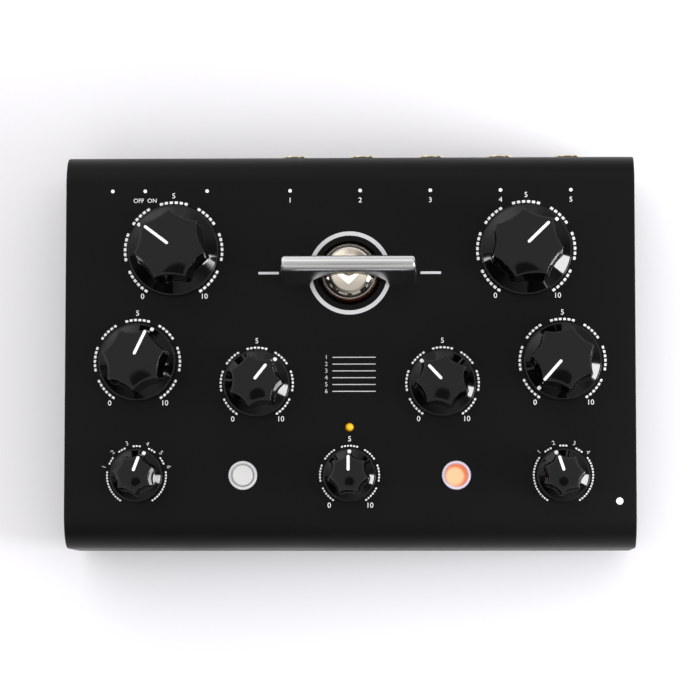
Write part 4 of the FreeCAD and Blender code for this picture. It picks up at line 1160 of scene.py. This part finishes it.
class DELAYUNIT_OT_sockets(bpy.types.Operator):
    """Finish the sockets and the power switch on the rear wall"""

    bl_idname = "delay_unit.sockets"
    bl_label = "Rear sockets"

    def execute(self, context):
        low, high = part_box("jack_nuts")
        bore, outside, reach, edge = NUT
        outline = [(bore, 0), (outside, 0), (outside, edge - 0.3)]
        outline += arc((outside - 0.3, edge - 0.3), 0.3, 0, 45, 4)
        outline += [(bore + 0.6, reach), (bore, reach), (bore, 0)]
        nuts = self.row_of(turned("nut", outline, 96), low.y, (low.z + high.z) / 2)
        finish_piece(nuts, "jack_nut_collars", "case", "black_plastic", ["jack_nuts"])
        inner, outer, face, root = RIM
        outline = [(inner, root), (outer, root), (outer, face - 0.35)]
        outline += arc((outer - 0.3, face - 0.3), 0.3, 0, 180, 8)
        outline += [(inner, face - 0.35), (inner, root)]
        rims = self.row_of(turned("rim", outline, 96), low.y, (low.z + high.z) / 2)
        finish_piece(rims, "jack_rims", "case", "rim_metal")
        refined("jack_bodies", "jack_housings", "black_plastic")
        refined("dc_socket", "inlet_housing", "black_plastic")
        refined("dc_pin", "inlet_pin", "polished_nickel")
        refined("midi_socket", "din_housing", "black_plastic")
        refined("midi_core", "din_core", "black_plastic")
        refined("midi_contacts", "din_contacts", "contact_metal")
        slider = refined("power_slider", "slide_tongue", "black_plastic", 20)
        apply_modifier(slider, "BEVEL", width=0.25 * MM, segments=2, limit_method="ANGLE",
                       angle_limit=math.radians(60))
        return {"FINISHED"}

    @staticmethod
    def row_of(master, y, z):
        """Five copies of a turned piece on the jacks, as one piece."""
        copies = []
        for x in rear_places()["jacks"]:
            one = copy_of(master, "one")
            settle(one, (x, y, z), rearward=True)
            copies.append(one)
        bpy.data.objects.remove(master)
        row = joined("row", copies)
        smooth(row, 35)
        return row


class DELAYUNIT_OT_guard(bpy.types.Operator):
    """Cut the valve guard: a bar with a round crown at its rear and an arch through it"""

    bl_idname = "delay_unit.guard"
    bl_label = "Valve guard"

    def execute(self, context):
        low, high = (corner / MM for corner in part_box("valve_guard"))
        crown = (high.y - CROWN_RADIUS, high.z - CROWN_RADIUS)
        span = math.hypot(crown[0] - low.y, crown[1] - low.z)
        lean = math.atan2(crown[0] - low.y, crown[1] - low.z) - math.asin(CROWN_RADIUS / span)
        section = arc(crown, CROWN_RADIUS, 0, 180 - math.degrees(lean), 28)
        outline = [(low.x, y, z) for y, z in [(high.y, low.z), *section, (low.y, low.z)]]
        guard = prism("guard", outline, (high.x - low.x, 0, 0))
        ends = (low.x + 0.01) * MM, (high.x - 0.01) * MM
        foot = (low.z + 0.01) * MM
        round_edges(guard, GUARD_END, 6, lambda a, b: (max(a.x, b.x) < ends[0] or min(a.x, b.x) > ends[1])
                    and max(a.z, b.z) > foot)
        middle = Vector(((low.x + high.x) / 2, (low.y + high.y) / 2, low.z)) * MM
        cut(guard, drill(ARCH_RADIUS, middle, 2 * (high.y - low.y), True, 160))
        smooth(guard, 24)
        finish_piece(guard, "arched_guard", "case", "satin_aluminium", ["valve_guard"])
        return {"FINISHED"}


def crown_outline(inset):
    """Outline of the glass, from its shoulder over a rounded corner to the middle of its crown."""
    radius, corner = GLASS["radius"] - inset, GLASS["corner"] - inset
    shoulder, crown = GLASS["shoulder"], GLASS["crown"] - inset
    rise, offset = crown - shoulder, radius - corner
    sphere = (rise ** 2 + offset ** 2 - corner ** 2) / (2 * (rise - corner))
    centre = crown - sphere
    lean = math.degrees(math.atan2(shoulder - centre, offset))
    return arc((offset, shoulder), corner, 0, lean, 14) + arc((0, centre), sphere, lean, 90, 14)[1:]


class DELAYUNIT_OT_valve(bpy.types.Operator):
    """Blow the valve's glass and lay the silver patch and its brown fringe on its inside"""

    bl_idname = "delay_unit.valve"
    bl_label = "Valve"

    def execute(self, context):
        valve = centre_of("valve_socket")
        seat = (valve.x, valve.y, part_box("valve_envelope")[0].z)
        foot = GLASS["radius"] - GLASS_FOOT
        tip_radius, tip_top, tip_end = GLASS_TIP
        outside = [(0, 0)] + arc((foot, GLASS_FOOT), GLASS_FOOT, -90, 0, 6)
        outside += [point for point in crown_outline(0) if point[0] > tip_radius]
        root = outside[-1][1]
        outside += [(tip_radius - 0.1, root + 0.35), (tip_radius * 0.7, root + 1.3)]
        outside += arc((0, tip_top - tip_end), tip_end, 20, 90, 6)
        glass = turned("glass", outside, 96)
        inner_radius = GLASS["radius"] - GLASS_WALL
        inside = [(0, GLASS_BASE), (inner_radius, GLASS_BASE)] + crown_outline(GLASS_WALL)
        hollow = turned("hollow", inside, 96)
        edit_all(hollow, bpy.ops.mesh.flip_normals)
        glass = joined("glass", [glass, hollow])
        settle(glass, seat)
        smooth(glass, 40)
        finish_piece(glass, "valve_glass", "case", "clear_glass", ["valve_envelope"])
        dome = crown_outline(MIRROR_INSET)
        patch = self.shell("patch", [point for point in dome if point[1] > MIRROR_EDGE], seat)
        finish_piece(patch, "silver_patch", "case", "mirror_silver")
        lower = [(GLASS["radius"] - MIRROR_INSET, FRINGE_EDGE)]
        lower += [point for point in dome if point[1] <= MIRROR_EDGE + 0.4]
        # The fringe carries a painted heater glow, a weak red emission over its own brown
        fringe = self.shell("fringe", lower, seat)
        finish_piece(fringe, "brown_fringe", "case", "amber_fringe")
        return {"FINISHED"}

    @staticmethod
    def shell(name, outline, seat):
        """A thin layer in the glass along an outline."""
        layer = 0.03
        middle = (0, GLASS["shoulder"] - 4)
        back = []
        for radius, height in reversed(outline):
            away = Vector((radius - middle[0], height - middle[1]))
            shorter = away * (1 - layer / max(away.length, 1.0))
            back.append((max(shorter.x + middle[0], 0.0), shorter.y + middle[1]))
        closed = outline + back
        closed.append(outline[0])
        shell = turned(name, closed, 96)
        settle(shell, seat)
        smooth(shell, 40)
        return shell


class DELAYUNIT_OT_buttons(bpy.types.Operator):
    """Build the two push buttons in their bezels and the indicator light"""

    bl_idname = "delay_unit.buttons"
    bl_label = "Buttons and light"

    def execute(self, context):
        top = panel_top()
        bore, sleeve, rim, reach, tail = BEZEL.values()
        outline = [(bore, -tail), (sleeve, -tail), (sleeve, 0), (rim, 0), (rim, reach - 0.5)]
        outline += arc((rim - 0.45, reach - 0.45), 0.45, 10, 90, 5)
        outline += [(bore + 0.50, reach - 0.05), (bore + 0.22, reach - 0.42), (bore + 0.05, reach - 0.55),
                    (bore, reach - 0.7), (bore, -tail)]
        ring = turned("bezel", outline, 96)
        smooth(ring, 35)
        radius, edge = CAP["radius"], CAP["edge"]
        for label, lit in (("tap", False), ("bypass", True)):
            node = "cap_" + label
            low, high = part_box(node)
            place = Vector(((low.x + high.x) / 2, (low.y + high.y) / 2, top))
            bezel = copy_of(ring, "bezel")
            settle(bezel, place)
            # The lit button's bezel gets the finish with its cap's glow painted into the colour
            finish_piece(bezel, "bezel_" + label, "case", "lit_bezel_plastic" if lit else "bezel_plastic",
                         [] if lit else ["button_bezels"])
            bottom = (low.z - top) / MM
            shape = [(0, bottom), (1.6, bottom), (1.6, -3.5), (CAP["flange"], -3.5), (CAP["flange"], -3.0),
                     (radius, -3.0)]
            shape += arc((radius - edge, CAP["reach"] - edge), edge, 0, 90, 8)
            shape += [(radius * 0.5, CAP["reach"] - 0.05), (0, CAP["reach"] - 0.08)]
            cap = turned("cap", shape, 96)
            smooth(cap, 35)
            settle(cap, place)
            finish_piece(cap, "push_" + node, "button_" + label, lit_plastic(place) if lit else "cap_plastic",
                         [node])
        bpy.data.objects.remove(ring)
        low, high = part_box("status_led")
        place = Vector(((low.x + high.x) / 2, (low.y + high.y) / 2, high.z))
        length = (high.z - low.z) / MM
        shape = [(0, -length), (1.9, -length), (1.9, 1.0 - length), (LIGHT_RADIUS, 1.0 - length)]
        shape += arc((0, -LIGHT_RADIUS), LIGHT_RADIUS, 0, 90, 12)
        light = turned("light", shape, 64)
        smooth(light, 35)
        settle(light, place)
        finish_piece(light, "yellow_light", "case", light_plastic(place), ["status_led"])
        return {"FINISHED"}


# Stage

def area_lamp(name, place, target, size, radiance, colour, mirrored):
    """A soft rectangular lamp whose face has an even radiance."""
    data = bpy.data.lights.new(name, "AREA")
    data.shape = "RECTANGLE"
    data.size = size[0]
    data.size_y = size[1]
    data.energy = radiance * math.pi * size[0] * size[1]
    data.color = colour
    obj = bpy.data.objects.new(name, data)
    bpy.context.scene.collection.objects.link(obj)
    obj.location = place
    obj.rotation_euler = (Vector(target) - Vector(place)).to_track_quat("-Z", "Y").to_euler()
    obj.visible_camera = False
    obj.visible_glossy = mirrored


def studio_world():
    """A room of soft light: a pale band, walls, a ceiling brighter to the rear and two dim patches."""
    world = bpy.data.worlds.new("studio")
    world.use_nodes = True
    tree = world.node_tree
    tree.nodes.clear()
    shader = tree.nodes.new("ShaderNodeBackground")
    leave = tree.nodes.new("ShaderNodeOutputWorld")
    tree.links.new(shader.outputs["Background"], leave.inputs["Surface"])
    place = tree.nodes.new("ShaderNodeTexCoord").outputs["Generated"]
    wheel = tree.nodes.new("ShaderNodeTexGradient")
    wheel.gradient_type = "RADIAL"
    tree.links.new(place, wheel.inputs["Vector"])
    ramp = tree.nodes.new("ShaderNodeValToRGB")
    tree.links.new(wheel.outputs["Fac"], ramp.inputs["Fac"])
    stops = sorted(((270 - turn) % 360 / 360, level) for turn, level in WALLS)
    for position, level in stops[1:-1]:
        ramp.color_ramp.elements.new(position)
    for element, (position, level) in zip(ramp.color_ramp.elements, stops):
        element.position = position
        element.color = (level, level * 0.985, level * 0.96, 1.0)
    parts = tree.nodes.new("ShaderNodeSeparateXYZ")
    tree.links.new(place, parts.inputs["Vector"])
    height = parts.outputs["Z"]
    colour = blend_colour(tree, stepped(tree, height, *BAND_EDGE), BAND_COLOUR, ramp.outputs["Color"])
    ceiling = blend_colour(tree, stepped(tree, parts.outputs["Y"], *CEILING_SPAN), *CEILING_COLOURS)
    colour = blend_colour(tree, stepped(tree, height, *CEILING_EDGE), colour, ceiling)
    for turn, outer, inner, level in PATCHES:
        middle = tree.nodes.new("ShaderNodeVectorMath")
        middle.operation = "DOT_PRODUCT"
        tree.links.new(place, middle.inputs[0])
        middle.inputs[1].default_value = (0, math.sin(math.radians(turn)), math.cos(math.radians(turn)))
        share = stepped(tree, middle.outputs["Value"],
                        math.cos(math.radians(outer)), math.cos(math.radians(inner)))
        colour = blend_colour(tree, share, colour, (level, level, level))
    tree.links.new(colour, shader.inputs["Color"])
    return world


class DELAYUNIT_OT_stage(bpy.types.Operator):
    """Put in the floor, the lamps and the camera"""

    bl_idname = "delay_unit.stage"
    bl_label = "Stage"

    def execute(self, context):
        scene = context.scene
        start_clean()
        bpy.ops.mesh.primitive_plane_add(size=12, location=(0, 0, 0))
        floor = bpy.context.object
        floor.name = "floor"
        floor.data.materials.append(finish("floor_paper"))
        scene.world = studio_world()
        for name, values in LAMPS.items():
            area_lamp(name, *values)
        camera_data = bpy.data.cameras.new("camera")
        camera_data.sensor_width = SENSOR_WIDTH
        camera_data.lens = FOCAL_PIXELS / PICTURE_WIDTH * SENSOR_WIDTH
        camera_data.clip_start = 0.01
        camera_data.clip_end = 50
        camera = bpy.data.objects.new("camera", camera_data)
        scene.collection.objects.link(camera)
        camera.location = CAMERA_PLACE
        camera.rotation_euler = [math.radians(angle) for angle in CAMERA_TURN]
        scene.camera = camera
        scene.view_settings.view_transform = "Standard"
        return {"FINISHED"}


class DELAYUNIT_OT_node_finishes(bpy.types.Operator):
    """Give each node that keeps its own shape the finish of its slot"""

    bl_idname = "delay_unit.node_finishes"
    bl_label = "Finishes of the frame"

    def execute(self, context):
        slots = {part["node"]: part["material_slot"] for part in frame["record"]["subparts"]}
        for name, node in frame["nodes"].items():
            node.data.materials.clear()
            node.data.materials.append(plain_finish(slots[name]))
        return {"FINISHED"}


class DELAYUNIT_PT_panel(bpy.types.Panel):
    """Lists the steps that dress the unit"""

    bl_label = "Delay unit"
    bl_idname = "DELAYUNIT_PT_panel"
    bl_space_type = "VIEW_3D"
    bl_region_type = "UI"
    bl_category = "Delay"

    def draw(self, context):
        for step in STEPS:
            self.layout.operator(step.bl_idname)
        for label in DelayUnitSettings.__annotations__:
            self.layout.prop(context.scene.delay_unit, label)


STEPS = (DELAYUNIT_OT_node_finishes, DELAYUNIT_OT_cover, DELAYUNIT_OT_underside, DELAYUNIT_OT_sockets,
         DELAYUNIT_OT_knobs, DELAYUNIT_OT_buttons, DELAYUNIT_OT_guard, DELAYUNIT_OT_valve, DELAYUNIT_OT_print,
         DELAYUNIT_OT_stage)
CLASSES = (DelayUnitSettings, *STEPS, DELAYUNIT_PT_panel)


def register():
    for one in CLASSES:
        bpy.utils.register_class(one)
    bpy.types.Scene.delay_unit = PointerProperty(type=DelayUnitSettings)


def unregister():
    del bpy.types.Scene.delay_unit
    for one in reversed(CLASSES):
        bpy.utils.unregister_class(one)


def main():
    register()
    for step in STEPS:
        group, action = step.bl_idname.split(".")
        getattr(getattr(bpy.ops, group), action)()


if __name__ == "__main__":
    main()
